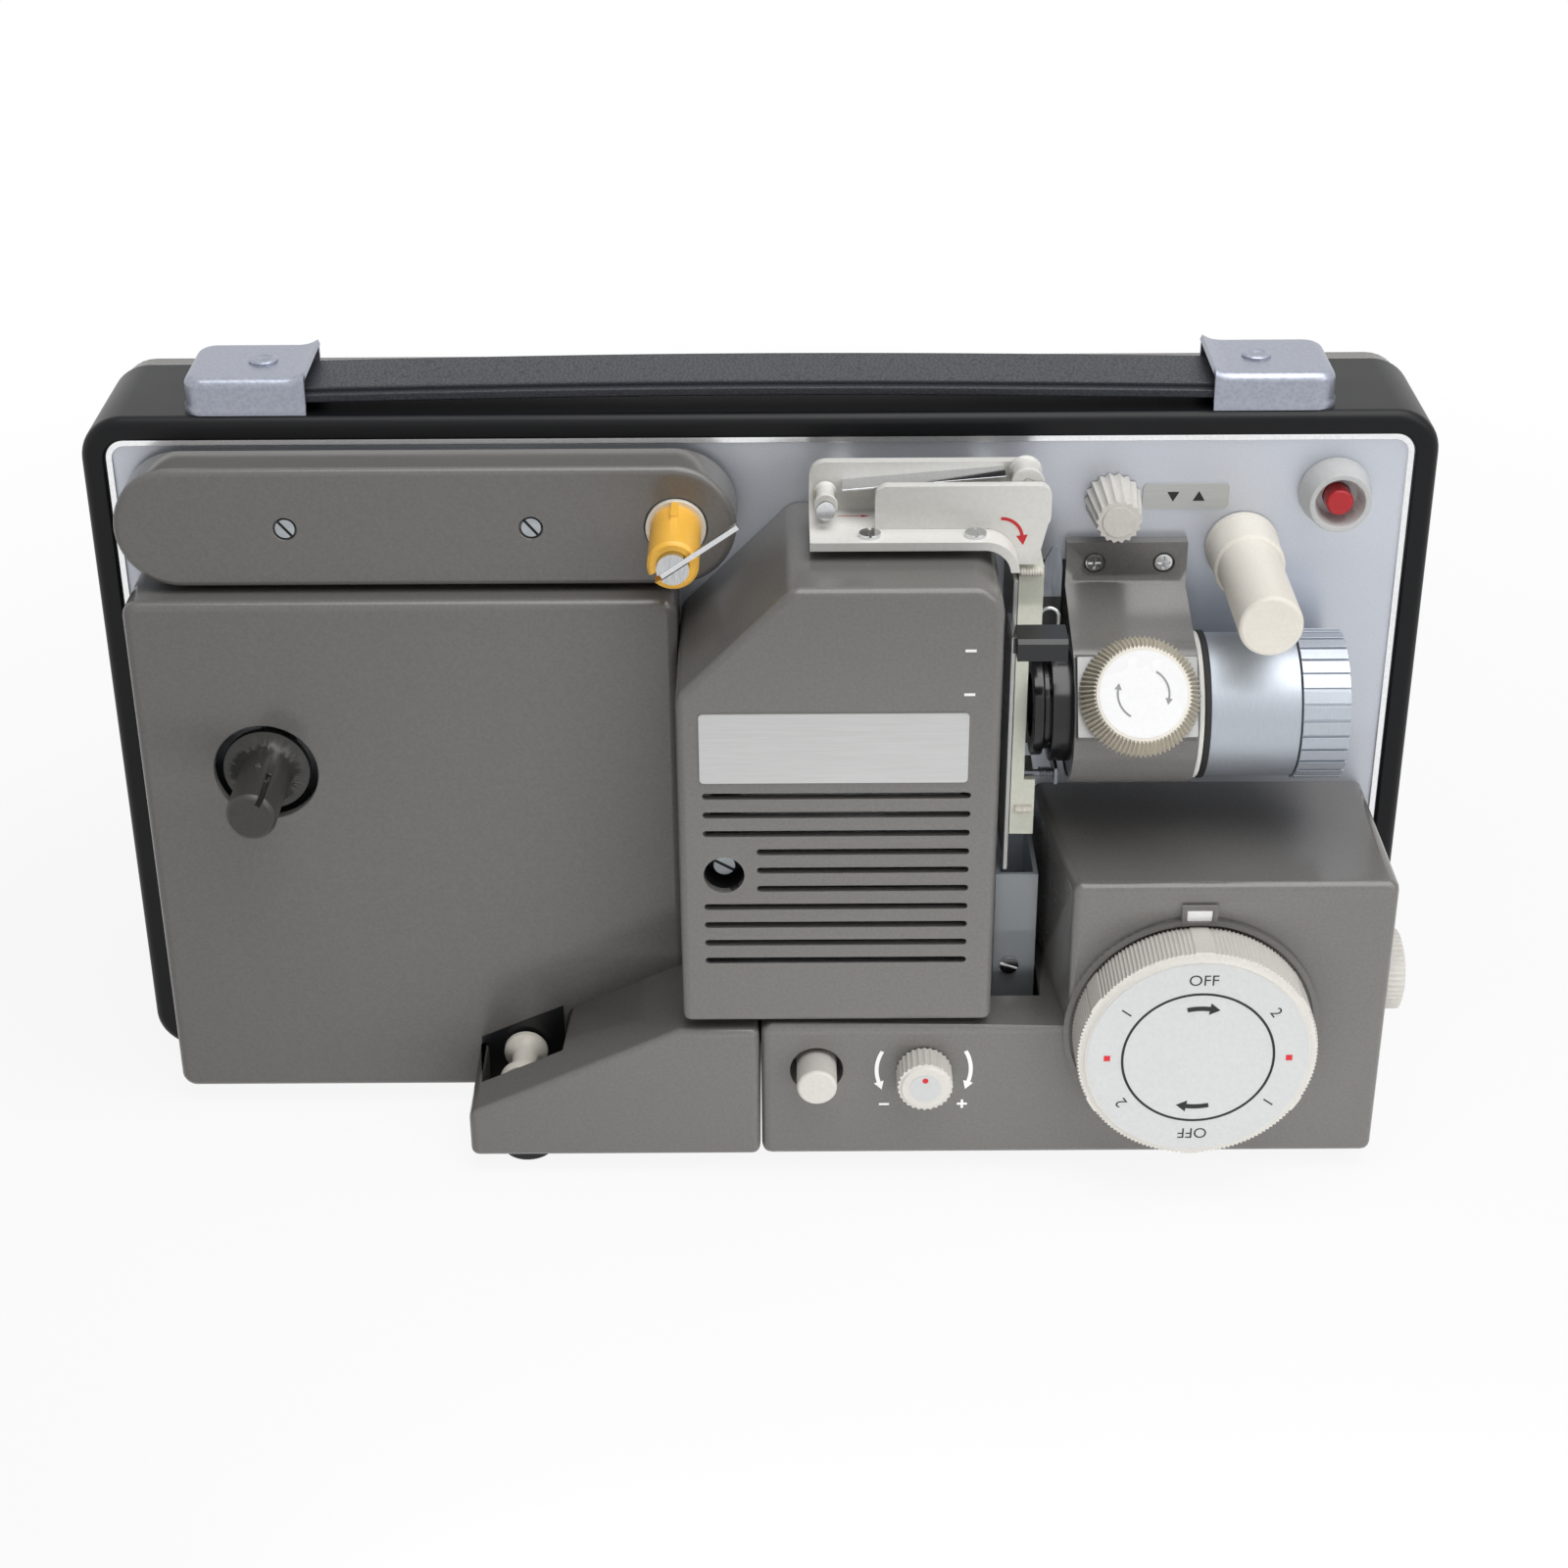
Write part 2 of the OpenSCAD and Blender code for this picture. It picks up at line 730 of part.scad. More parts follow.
module handle_strap() {
    strap_w = cap_w - 2 * cap_t - 2 * gap;
    end_x = cap_x + cap_l / 2 - cap_t - 2;
    bottom = case_h + cap_h - cap_t - strap_lift - strap_t - gap;
    color(black) in_frame() translate([case_mid, cap_w / 2, 0]) {
        translate([-end_x, -strap_w / 2, bottom]) cube([2 * end_x, strap_w, strap_t]);
        for (x = [-end_x, end_x - 8]) translate([x, -strap_w / 2, case_h + gap])
            cube([8, strap_w, bottom + eps - case_h - gap]);
    }
}

// Front covers

module take_up_cover() {
    right = lamp_left - gap;
    color(cover_grey) in_frame() difference() {
        slab(cover_depth, 0) round_rect(cover_x, right, 0, cover_top, 4);
        slab(cover_depth - cover_wall, -1)
            round_rect(cover_x + cover_wall, right - cover_wall, cover_wall, cover_top - cover_wall, 2);
        bar_y(takeup_axis_x, takeup_z, takeup_hole_r, cover_depth + 1, 0);
        bar_y(exit_roller_x, exit_roller_z, exit_pin_r + run, cover_depth + 1, 0);
        rim_cut();
    }
}

// The base's outline: low at the left, a ramp, then level under the lamphouse
module base_outline(inset) {
    polygon([[base_left + inset, inset], [base_left + inset, ramp_low - 0.6 * inset],
             [lamp_left - 1.2 + 0.4 * inset, base_h - 1.2 - inset], [base_seam - inset, base_h - 1 - inset],
             [base_seam - inset, inset]]);
}

module base_cover() {
    exit_left = base_left + cover_wall;
    color(cover_grey) in_frame() difference() {
        union() {
            slab(box_depth, cover_depth) base_outline(0);
            block([lamp_left, base_seam], [cover_depth, 0], [0, base_h - 1]);
        }
        slab(box_depth - cover_wall, cover_depth + eps) base_outline(cover_wall);
        block([lamp_left + cover_wall, base_seam - cover_wall], [box_depth - cover_wall, -1],
              [cover_wall, base_h - 1 - cover_wall]);
        rim_cut();
        block([exit_left, exit_left + exit_w], [cover_depth + exit_d, cover_depth - 1], [cover_wall, base_h]);
    }
}

// The control housing's plan at the level of the box
module control_plan(inset) {
    polygon([[control_left + inset, 0], [control_right - inset, 0],
             [control_right - inset, -box_depth + inset],
             [control_left + control_draw + inset, -box_depth + inset]]);
}

module control_housing() {
    color(cover_grey) in_frame() {
        difference() {
            union() {
                linear_extrude(control_top) control_plan(0);
                block([base_seam + 0.4, control_right - 1], [box_depth, 0], [0, base_h]);
            }
            translate([0, 0, cover_wall]) linear_extrude(control_top - 2 * cover_wall) difference() {
                control_plan(cover_wall);
                translate([tilt_rod_x, -tilt_rod_y]) circle(tilt_rod_r + 3);
            }
            translate([tilt_rod_x, -tilt_rod_y, cover_wall + 12])
                cylinder(h = control_top - 2 * cover_wall - 12, r = tilt_rod_r + 3);
            block([base_seam + 0.4 + cover_wall, control_left + control_draw + 4],
                  [box_depth - cover_wall, -1], [cover_wall, base_h - cover_wall]);
            block([lower_left - 1, lower_right + 0.8], [pocket_back, -1],
                  [base_h - cover_wall - 1, base_h + 1]);
            bar_y(dial_x, dial_z, dial_shaft_r + run, box_depth + 1, box_depth - cover_wall - 1);
            bar_y(slow_x, button_z, slow_hole_r, box_depth + 1, box_depth - cover_wall - 1);
            bar_y(speed_x, button_z, speed_shaft_r + run, box_depth + 1, box_depth - cover_wall - 1);
            bar_x(tilt_y, tilt_z, tilt_shaft_r + run, control_right - cover_wall - 1, control_right + 1);
            bar_z(tilt_rod_x, tilt_rod_y, tilt_rod_r + run, -1, cover_wall + 13);
            rim_cut();
        }
        dial_collar();
        slow_guide();
        speed_boss();
    }
}

// The raised collar round the main switch and the frame of its index
module dial_collar() {
    difference() {
        union() {
            bar_y(dial_x, dial_z, dial_r + 2.2, box_depth + 1.4, box_depth - eps);
            block([dial_x - index_half, dial_x + index_half], [box_depth + index_proud, box_depth - eps],
                  [index_low, index_low + index_h]);
        }
        bar_y(dial_x, dial_z, dial_r + 0.8, box_depth + 2, box_depth - 1);
        block([dial_x - index_half + 1.1, dial_x + index_half - 1.1],
              [box_depth + index_proud + 1, box_depth + 0.6], [index_low + 1, index_low + index_h - 1]);
    }
}

// The tube behind the slow button that guides its stem
module slow_guide() {
    difference() {
        bar_y(slow_x, button_z, slow_hole_r + 1.6, box_depth - cover_wall + eps, box_depth - 14);
        bar_y(slow_x, button_z, slow_hole_r, box_depth, box_depth - 11);
        bar_y(slow_x, button_z, 2.5 + run, box_depth, box_depth - 15);
    }
}

module speed_boss() {
    difference() {
        bar_y(speed_x, button_z, speed_shaft_r + 3, box_depth - cover_wall + eps, box_depth - 8);
        bar_y(speed_x, button_z, speed_shaft_r + run, box_depth, box_depth - 9);
    }
}

// Lamphouse

module lamp_outline(inset) {
    left = lamp_left + inset;
    right = lamp_right - inset;
    high = lamp_high - inset;
    low = lamp_low + inset;
    slope = lamp_slope - 0.59 * inset;
    r = lamp_corner - inset;
    difference() {
        union() {
            translate([left, low]) square([right - left - r, high - low]);
            translate([left, low]) square([right - left, high - low - r]);
            translate([right - r, high - r]) circle(r);
        }
        polygon([[left - 1, high + 1], [left + slope + 1, high + 1], [left - 1, high - slope - 1]]);
    }
}

module lamphouse_cover() {
    color(cover_grey) in_frame() difference() {
        slab(box_depth, gap) lamp_outline(0);
        slab(box_depth - lamp_wall, gap - 1) lamp_outline(lamp_wall);
        for (i = [0 : louvre_n - 1]) slab(box_depth + 1, box_depth - lamp_wall - 1)
            stadium((i == 3 || i == 4 || i == 5 ? screw_x + 8 : louvre_left) + louvre_slot / 2,
                    louvre_right, louvre_top - i * louvre_pitch, louvre_slot / 2);
        bar_y(screw_x, screw_z, screw_hole_r, box_depth + 1, box_depth - lamp_wall - 1);
        bar_x(film_y, optic_z, window_r, lamp_right - lamp_wall - 1, lamp_right + 1);
    }
}

// The captive screw in its cup, which holds the cover to the lamp socket's post
module cover_screw() {
    color(steel) in_frame() {
        difference() {
            bar_y(screw_x, screw_z, screw_hole_r + 1.4, box_depth - lamp_wall,
                  box_depth - lamp_wall - screw_cup);
            bar_y(screw_x, screw_z, screw_hole_r, box_depth, box_depth - lamp_wall - screw_cup + 1.5);
        }
        slot_head(screw_x, screw_z, 2.7, box_depth - 5, box_depth - lamp_wall - screw_cup + 1.5 - eps, 30);
    }
}

module lamp_socket() {
    color(dark_grey) in_frame() {
        block([lamp_x - 16, lamp_x - 10], [film_y + 14, 0], [optic_z - 16, optic_z + 16]);
        bar_y(screw_x, screw_z, 4, box_depth - lamp_wall - screw_cup - gap, 0);
        difference() {
            block([lamp_x - 10, lamp_x], [film_y + 8, film_y - 8], [optic_z - 9, optic_z + 9]);
            bar_x(film_y, optic_z, 3.2, lamp_x - 10.5, lamp_x + 1);
        }
    }
}

// A capsule lamp with its own mirror, facing the gate; i counts steps from the neck to the rim
function mirror_point(i, inset) = let (s = i / mirror_steps)
    [lamp_neck_r + (mirror_r - lamp_neck_r) * s - inset,
     lamp_x + lamp_neck_l + (mirror_l - lamp_neck_l) * pow(s, 2)];

module lamp() {
    outer = [for (i = [0 : mirror_steps]) mirror_point(i, 0)];
    inner = [for (i = [mirror_steps : -1 : 1]) mirror_point(i, mirror_t)];
    seat = lamp_x + lamp_neck_l + mirror_t;
    color(bright) in_frame() {
        turned_x(film_y, optic_z, concat([[0, lamp_x], [lamp_neck_r, lamp_x]], outer, inner, [[0, seat]]));
        turned_x(film_y, optic_z, [[0, seat - eps], [bulb_r / 2, seat - eps], [bulb_r, seat + bulb_r],
                                   [bulb_r, seat + bulb_l - bulb_r], [0, seat + bulb_l]]);
        for (side = [-1, 1]) bar_x(film_y + lamp_pin * side, optic_z, 0.5, lamp_x - 9, lamp_x + eps);
    }
}

// Supply arm

module arm_pivot() {
    color(steel) in_frame()
        bar_y(pivot_x, arm_axis_z, pivot_r, arm_front - arm_skin - gap, -chassis_y - chassis_t);
}

module supply_arm() {
    skin_y = arm_front - arm_skin;
    color(cover_grey) in_frame() {
        difference() {
            slab(arm_front, arm_back) stadium(pivot_x, arm_end_x, arm_axis_z, arm_r);
            difference() {
                slab(skin_y, arm_back - 1) stadium(pivot_x, arm_end_x, arm_axis_z, arm_r - 2.2);
                bar_y(pivot_x, arm_axis_z, pivot_r + 4, skin_y + 1, arm_back);
                bar_y(spindle_x, arm_axis_z, collar_r + 1.6, skin_y + 1, arm_back);
                for (x = arm_screw_x) bar_y(x, arm_axis_z, 4.5, skin_y + 1, arm_back);
            }
            bar_y(pivot_x, arm_axis_z, pivot_r + run, skin_y, 0);
            bar_y(spindle_x, arm_axis_z, collar_r + gap, arm_front + 1, skin_y);
            bar_y(spindle_x, arm_axis_z, hub_bore_r, arm_front, 0);
            for (x = arm_screw_x) {
                bar_y(x, arm_axis_z, arm_screw_r + 0.5, arm_front + 1, arm_front - 1.6);
                bar_y(x, arm_axis_z, 1.5, arm_front, arm_back + 2);
            }
        }
    }
}

module arm_screws() {
    color(steel) in_frame() for (x = arm_screw_x) {
        slot_head(x, arm_axis_z, arm_screw_r, arm_front - 0.4, arm_front - 1.6, 50);
        bar_y(x, arm_axis_z, 1.5, arm_front - 1.6 + eps, arm_back + 2);
    }
}

module spindle_collar() {
    skin_y = arm_front - arm_skin;
    color(cream) in_frame() {
        bar_y(spindle_x, arm_axis_z, collar_r, arm_front + 1.1, skin_y + gap);
        bar_y(spindle_x, arm_axis_z, hub_shaft_r, skin_y + gap + eps, arm_back);
    }
}

module supply_spindle() {
    base = arm_front + 1.1;
    tip = base + spindle_l;
    color("#f0bb3c") in_frame() difference() {
        union() {
            turned_y(spindle_x, arm_axis_z, [[0, base], [spindle_r, base], [spindle_r, tip - 0.8],
                                        [spindle_r - 0.8, tip], [0, tip]]);
            block([spindle_x - 0.9, spindle_x + 0.9], [base + 8, base],
                  [arm_axis_z + spindle_r - 1, arm_axis_z + spindle_r + 0.9]);
        }
        bar_y(spindle_x, arm_axis_z, stud_r + run, tip + 1, tip - 6);
        translate([spindle_x, -tip, arm_axis_z]) rotate([0, -clip_turn, 0])
            translate([-spindle_r - 1, -1, -1.1]) cube([spindle_r, 6.5, 2.2]);
    }
}

// The steel stud in the spindle's tip, slotted for the clip
module spindle_stud() {
    tip = arm_front + 1.1 + spindle_l;
    color(steel) in_frame() {
        difference() {
            bar_y(spindle_x, arm_axis_z, stud_r, tip + stud_proud, tip - 6);
            translate([spindle_x, -tip, arm_axis_z]) rotate([0, -clip_turn, 0])
                translate([-stud_r - 1, -stud_proud - 1, -clip_t / 2 - 0.15])
                    cube([2 * stud_r + 2, stud_proud + 5.5, clip_t + 0.3]);
        }
        translate([spindle_x, -clip_y, arm_axis_z]) rotate([0, -clip_turn, 0])
            translate([0, 0, -2]) cylinder(h = 4, r = clip_pin_r);
    }
}

module reel_clip() {
    color(bright) in_frame() translate([spindle_x, -clip_y, arm_axis_z]) rotate([0, -clip_turn, 0])
    difference() {
        translate([-clip_tail, -clip_w / 2, -clip_t / 2]) cube([clip_tail + clip_l, clip_w, clip_t]);
        translate([0, 0, -clip_t]) cylinder(h = 2 * clip_t, r = clip_pin_r + run);
    }
}

// Take-up

module take_up_spindle() {
    flange = cover_depth - 1.2;
    color(dark_grey) in_frame() difference() {
        union() {
            turned_y(takeup_axis_x, takeup_z,
                     [[0, -takeup_drive_y - belt_w], [takeup_shaft_r, -takeup_drive_y - belt_w],
                      [takeup_shaft_r, flange - 2], [takeup_hole_r - 2.1, flange - 2],
                      [takeup_hole_r - 2.1, flange], [takeup_r, flange + 1], [takeup_r, takeup_tip - 1],
                      [takeup_r - 1, takeup_tip], [0, takeup_tip]]);
            for (a = [90, 210, 330]) translate([takeup_axis_x, 0, takeup_z]) rotate([0, -a, 0])
                translate([takeup_r - 1, -flange - 10, -0.8]) cube([1.9, 10, 1.6]);
        }
        translate([takeup_axis_x, -takeup_tip, takeup_z]) rotate([0, -60, 0])
            translate([takeup_r - 2.5, -1, -0.6]) cube([4, 14, 1.2]);
    }
}

module take_up_pulley() {
    y = takeup_drive_y;
    color(black) in_frame() difference() {
        pulley(takeup_axis_x, takeup_z, takeup_pulley_r, y);
        bar_y(takeup_axis_x, takeup_z, takeup_shaft_r, 0, -rear_y);
    }
}

// A pulley whose groove is as wide as the belt; y is the near side of the groove
module pulley(x, z, r, y) {
    bar_y(x, z, r, -y, -y - belt_w);
    bar_y(x, z, r + belt_t + 0.6, -y + 1, -y + eps - gap);
    bar_y(x, z, r + belt_t + 0.6, -y - belt_w + gap - eps, -y - belt_w - 1);
}

// A flat belt round two pulleys
module belt(p, rp, q, rq, y) {
    slab(-y - 2 * gap, -y - belt_w + 2 * gap) difference() {
        hull() {
            translate(p) circle(rp + gap + belt_t);
            translate(q) circle(rq + gap + belt_t);
        }
        hull() {
            translate(p) circle(rp + gap);
            translate(q) circle(rq + gap);
        }
    }
}

module take_up_belt() {
    color(black) in_frame()
        belt([takeup_axis_x, takeup_z], takeup_pulley_r, [inch_x, inch_axis_z], takeup_drive_r,
             takeup_drive_y);
}

// Film path

module guide_wall_outline() {
    difference() {
        round_rect(guide_left, guide_right, guide_low + ledge_t, guide_high, 4);
        translate([guide_right + 3, guide_low]) rotate(4) square([8, 40], center = true);
    }
    translate([guide_left, guide_low + ledge_t]) square([20, 4]);
    translate([leg_left, gate_top + gap]) square([leg_right - leg_left + 6, guide_low - gate_top + 6]);
}

module film_guide() {
    color(cream) in_frame() difference() {
        union() {
            slab(guide_back, guide_back - guide_t) guide_wall_outline();
            block([guide_left, corner_x], [ledge_front, guide_back - guide_t],
                  [guide_low, guide_low + ledge_t]);
            guide_corner();
            for (x = [guide_left + 8, guide_right - 14]) bar_y(x, guide_low + 5, 3, guide_back - guide_t, 0);
            for (pin = [[roller_left, plate_front - 0.6], [roller_right, plate_back - gap]])
                bar_y(pin[0][0], pin[0][1], roller_pin_r, pin[1], guide_back - 0.5);
        }
        for (x = guide_screw_x)
            bar_z(x, ledge_front - ledge_w / 2, 1.25, guide_low - 1, guide_low + ledge_t + 1);
    }
}

// The ledge turns down at its right end and follows the lamphouse corner
module guide_corner() {
    r = corner_out_r;
    slab(ledge_front, guide_back) difference() {
        corner_form(r, corner_z - r, r + 1);
        corner_form(r - ledge_t, corner_z - r - 1, r + 2);
        translate([corner_x - 2 * r, corner_z - 2 * r]) square([4 * r, 2 * r + 0.6]);
    }
}

// A flat shape with one round corner about the centre of the ledge's bend; reach goes left of it
module corner_form(r, low, reach) {
    translate([corner_x - reach, low]) square([reach, corner_z + r - low]);
    translate([corner_x, low]) square([r, corner_z - low]);
    translate([corner_x, corner_z]) circle(r);
}

// The front plate of the channel, with its red arrow side to the viewer
module guide_plate() {
    tail_left = guide_right - 14;
    tail_low = gate_top + 1.2;
    tail_high = guide_low + ledge_t + 4;
    color(panel_silver) in_frame() slab(plate_front, plate_back) difference() {
        union() {
            round_rect(guide_left + 15.6, guide_right + 0.4, guide_low + ledge_t,
                       guide_low + ledge_t + 11, 3);
            translate([guide_left + 15.6, guide_low + ledge_t]) square([30, 5]);
            polygon([[tail_left, tail_low], [guide_right - 2.6, tail_low], [guide_right + 0.4, tail_high],
                     [tail_left, tail_high]]);
        }
        corner_form(corner_out_r, gate_top - 20, corner_out_r + 1);
    }
}

module roller(p, r) {
    back = guide_back + gap;
    front = plate_back - gap;
    color(cream) in_frame() difference() {
        turned_y(p[0], p[1], [[0, back], [r, back], [r, back + 1], [r - 0.6, back + 1.6],
                              [r - 0.6, front - 1.6], [r, front - 1], [r, front], [0, front]]);
        bar_y(p[0], p[1], roller_pin_r + run, front + 1, back - 1);
    }
}

module guide_roller_left() { roller(roller_left, roller_left_r); }
module guide_roller_right() { roller(roller_right, roller_right_r); }

// A thin steel strip that keeps the film from lifting between the rollers
module tension_strip() {
    start = roller_left + [roller_left_r + 1, 2.6];
    end = roller_right + [-roller_right_r - 1, 0.6];
    t = 0.5;
    color(bright) in_frame() slab(film_y + 2, guide_back)
        polygon([start, end, end + [0, t], start + [0, t]]);
}

module aperture_plate() {
    color(bright) in_frame() difference() {
        block([aperture_x, aperture_x + aperture_t], [gate_front + 1.6, 0], [aperture_low, gate_top - 3]);
        translate([aperture_x - 1, -film_y - 2.7, optic_z - 2]) cube([aperture_t + 2, 5.4, 4]);
    }
}

// The sprung plate that holds the film flat, thin where the lens comes close
module pressure_gate() {
    color("#d9dccb") in_frame() difference() {
        block([gate_x, gate_x + gate_t], [gate_front, gate_back], [gate_low, gate_top]);
        block([gate_x + gate_thin, gate_x + gate_t + 1], [gate_front + 1, gate_back - 1],
              [optic_z - rear_barrel_r - 4, optic_z + rear_barrel_r + 4]);
        block([gate_x - 1, gate_x + gate_t + 1], [film_y + 3.2, film_y - 3.2],
              [optic_z - 2.5, optic_z + 2.5]);
        for (z = gate_stud_z) bar_x(gate_stud_y, z, gate_stud_r + run, gate_x - 1, gate_x + gate_t + 1);
    }
}

// Two studs on the aperture plate carry the gate, and a bracket holds the spring
module gate_spring() {
    left = gate_x + gate_t + gate_travel + gap;
    right = left + gate_spring_l;
    stud_z = gate_stud_z[0];
    color(steel) in_frame() {
        bar_x(gate_stud_y, stud_z, gate_stud_r, aperture_x + aperture_t, right + 1.2);
        bar_x(gate_stud_y, gate_stud_z[1], gate_stud_r, aperture_x + aperture_t, gate_x + gate_t);
        block([right - eps, right + 0.8], [gate_stud_y + 2, 0],
              [stud_z - bracket_half, stud_z + bracket_half]);
        translate([left + 2 * spring_wire, -gate_stud_y, stud_z]) spring_tube();
    }
}

// The coil's centre line along X, straight for one wire diameter at each end
spring_rings = 8 * spring_turns;
spring_sides = 6;
spring_step = [spring_l / spring_turns / 360, spring_mean_r * PI / 180];
function spring_turn(i) = 360 * spring_turns * (min(max(i, 1), spring_rings + 1) - 1) / spring_rings;
function spring_tangent(a) =
    let (d = [spring_step[0], -spring_step[1] * sin(a), spring_step[1] * cos(a)]) d / norm(d);
function spring_centre(i) =
    let (a = spring_turn(i), past = i < 1 ? -1 : i > spring_rings + 1 ? 1 : 0)
    [spring_step[0] * a, spring_mean_r * cos(a), spring_mean_r * sin(a)]
    + past * 2 * spring_wire * spring_tangent(a);
function spring_rim(i, j) = let (a = spring_turn(i), b = 360 * j / spring_sides, out = [0, cos(a), sin(a)])
    spring_centre(i) + spring_wire * (cos(b) * out + sin(b) * cross(spring_tangent(a), out));

// Least gap between one turn and the next, on the points of the centre line
spring_gap = min([for (i = [1 : spring_rings], k = [i + 5 : spring_rings + 1])
    norm(spring_centre(i) - spring_centre(k))]) - 2 * spring_wire;
echo(spring_gap = spring_gap);

module spring_tube() {
    last = spring_rings + 2;
    points = [for (i = [0 : last], j = [0 : spring_sides - 1]) spring_rim(i, j)];
    at = function (i, j) i * spring_sides + j % spring_sides;
    walls = [for (i = [0 : last - 1], j = [0 : spring_sides - 1], k = [0, 1])
        k == 0 ? [at(i, j), at(i + 1, j), at(i, j + 1)] : [at(i, j + 1), at(i + 1, j), at(i + 1, j + 1)]];
    ends = [for (j = [1 : spring_sides - 2], k = [0, 1])
        k == 0 ? [at(0, 0), at(0, j), at(0, j + 1)] : [at(last, 0), at(last, j + 1), at(last, j)]];
    polyhedron(points, concat(walls, ends));
}

// The bright blade that springs from the gate towards the lens holder
module gate_arm() {
    foot = gate_x + gate_t + gate_travel + gap;
    back = gate_back - gap;
    color(bright) in_frame() slab(back, back - 0.9)
        translate([foot, gate_top])
            polygon([[-2, -27], [5, -27], [5.1, -6], [4.7, -2.4], [4, -0.9], [3.2, -0.4], [2.3, -0.9],
                     [0.9, -3.6], [-0.4, -8.3], [-1.2, -13], [-2, -18]]);
}

// The slider for the two film formats, with a pointer beside the lamphouse
module selector_lever() {
    stem_z = (selector_z[0] + selector_z[1]) / 2;
    color(black) in_frame() difference() {
        union() {
            block([selector_left, selector_right], [selector_front, selector_back], selector_z);
            block([aperture_x - 1.2, selector_left + eps], [selector_front - 3, gate_front + 1.6 + gap],
                  [stem_z - 2, stem_z + 2]);
        }
        translate([gate_x + 6, -selector_front, selector_z[1]]) rotate([45, 0, 0])
            cube([20, 1.4, 1.4], center = true);
    }
}

// The clear channel that leads the film down to the take-up
module lower_guide() {
    wall = 1.2;
    color("#cfd6da80") in_frame() difference() {
        block([lower_left, lower_right], [lower_front, 0], [lower_low, lower_top]);
        block([lower_left + wall, lower_right - wall], [lower_front - wall, -1],
              [lower_low - 1, lower_top + 1]);
        bar_y(lower_left + 4.2, lower_low + 20, 1.25, lower_front + 1, lower_front - wall - 1);
    }
}

module exit_roller() {
    back = cover_depth + gap;
    front = cover_depth + exit_d - 1;
    color(cream) in_frame() {
        turned_y(exit_roller_x, exit_roller_z,
                 [[0, back + 1], [exit_roller_r, back + 1], [exit_roller_r, back + 3], [3.4, back + 5],
                  [3.4, front - 5], [exit_roller_r, front - 3], [exit_roller_r, front], [0, front]]);
        bar_y(exit_roller_x, exit_roller_z, exit_pin_r, back + 1 + eps, cover_depth - cover_wall);
    }
}

// Lens

// The two points where lines from p touch a circle about c, by side
function touch(p, c, r, side) = let (d = p - c, a = atan2(d[1], d[0]) + side * acos(r / norm(d)))
    c + r * [cos(a), sin(a)];

module lens_holder() {
    c = [-film_y, optic_z];
    upper = [-flange_t, flange_z[0]];
    lower = [0, optic_z - 12];
    color(cover_grey) in_frame() difference() {
        union() {
            rail(holder_left, holder_right) {
                translate(c) circle(holder_r);
                polygon([[0, flange_z[1]], [-flange_t, flange_z[1]], upper,
                         touch(upper, c, holder_r - 0.15, 1), c,
                         touch(lower, c, holder_r - 0.15, -1), lower]);
            }
            translate([0, -film_y, optic_z]) rotate([-focus_tilt, 0, 0])
                translate([holder_left + 0.5, -focus_pad, -10]) cube([holder_l - 1, 8, 20]);
        }
        bar_x(film_y, optic_z, bore_r, holder_left - 1, holder_right + 1);
        translate([focus_x, -film_y, optic_z]) rotate([-focus_tilt, 0, 0]) rotate([90, 0, 0])
            cylinder(h = focus_pad + 1, r = focus_shaft_r + run);
        for (x = holder_screw_x) {
            bar_y(x, holder_screw_z, 2.8, flange_t + 1, flange_t - 1.2);
            bar_y(x, holder_screw_z, 1.25, flange_t, -1);
        }
    }
}

module lens_barrel() {
    color("#c2c4c6") in_frame() difference() {
        turned_x(film_y, optic_z,
                 [[lens_hole_r, lens_back], [barrel_r, lens_back], [barrel_r, ring_left - gap],
                  [neck_r, ring_left - gap], [neck_r, lens_right - 1], [neck_r - 1, lens_right - 0.4],
                  [lens_hole_r + 2, lens_right - 0.4], [lens_hole_r, lens_right - 5]]);
        translate([focus_x, -film_y, optic_z]) rotate([-focus_tilt, 0, 0])
            translate([-11, -barrel_r - 1, -focus_shaft_r - 1]) cube([22, 4.6, 2 * focus_shaft_r + 2]);
    }
}

module rear_barrel() {
    left = rear_barrel_left;
    color(black) in_frame() turned_x(film_y, optic_z,
        [[8, left], [rear_barrel_r - 1.5, left], [rear_barrel_r - 1.5, left + 2.6],
         [rear_barrel_r - 3, left + 3], [rear_barrel_r - 3, left + 4], [rear_barrel_r, left + 4.4],
         [rear_barrel_r, lens_back], [8, lens_back]]);
}

// Front and rear elements, each a biconvex disc
module lens_glass() {
    color("#9fb4c4a0") in_frame() {
        element(lens_right - 9, lens_hole_r, 3, 2.2);
        element(rear_barrel_left + 5, 8, 2.4, 1.2);
    }
}

// Points of one face of an element: i counts steps from the axis to the edge
function face_point(r, bulge, i, steps) =
    let (dome = (pow(r, 2) + pow(bulge, 2)) / (2 * bulge), p = r * i / steps)
    [p, sqrt(pow(dome, 2) - pow(p, 2)) - dome + bulge];

module element(x, r, edge, bulge) {
    steps = 10;
    right = [for (i = [0 : steps]) let (f = face_point(r, bulge, i, steps)) [f[0], x + edge + f[1]]];
    left = [for (i = [steps : -1 : 0]) let (f = face_point(r, bulge, i, steps)) [f[0], x - f[1]]];
    turned_x(film_y, optic_z, concat(right, left));
}

module zoom_ring() {
    color("#c2c4c6") in_frame() difference() {
        translate([ring_left, -film_y, optic_z]) rotate([90, 0, 90])
            linear_extrude(ring_l) ribbed(ring_r, 0.6, 30, 0.2);
        bar_x(film_y, optic_z, neck_r + run, ring_left - 1, lens_right + 1);
    }
}

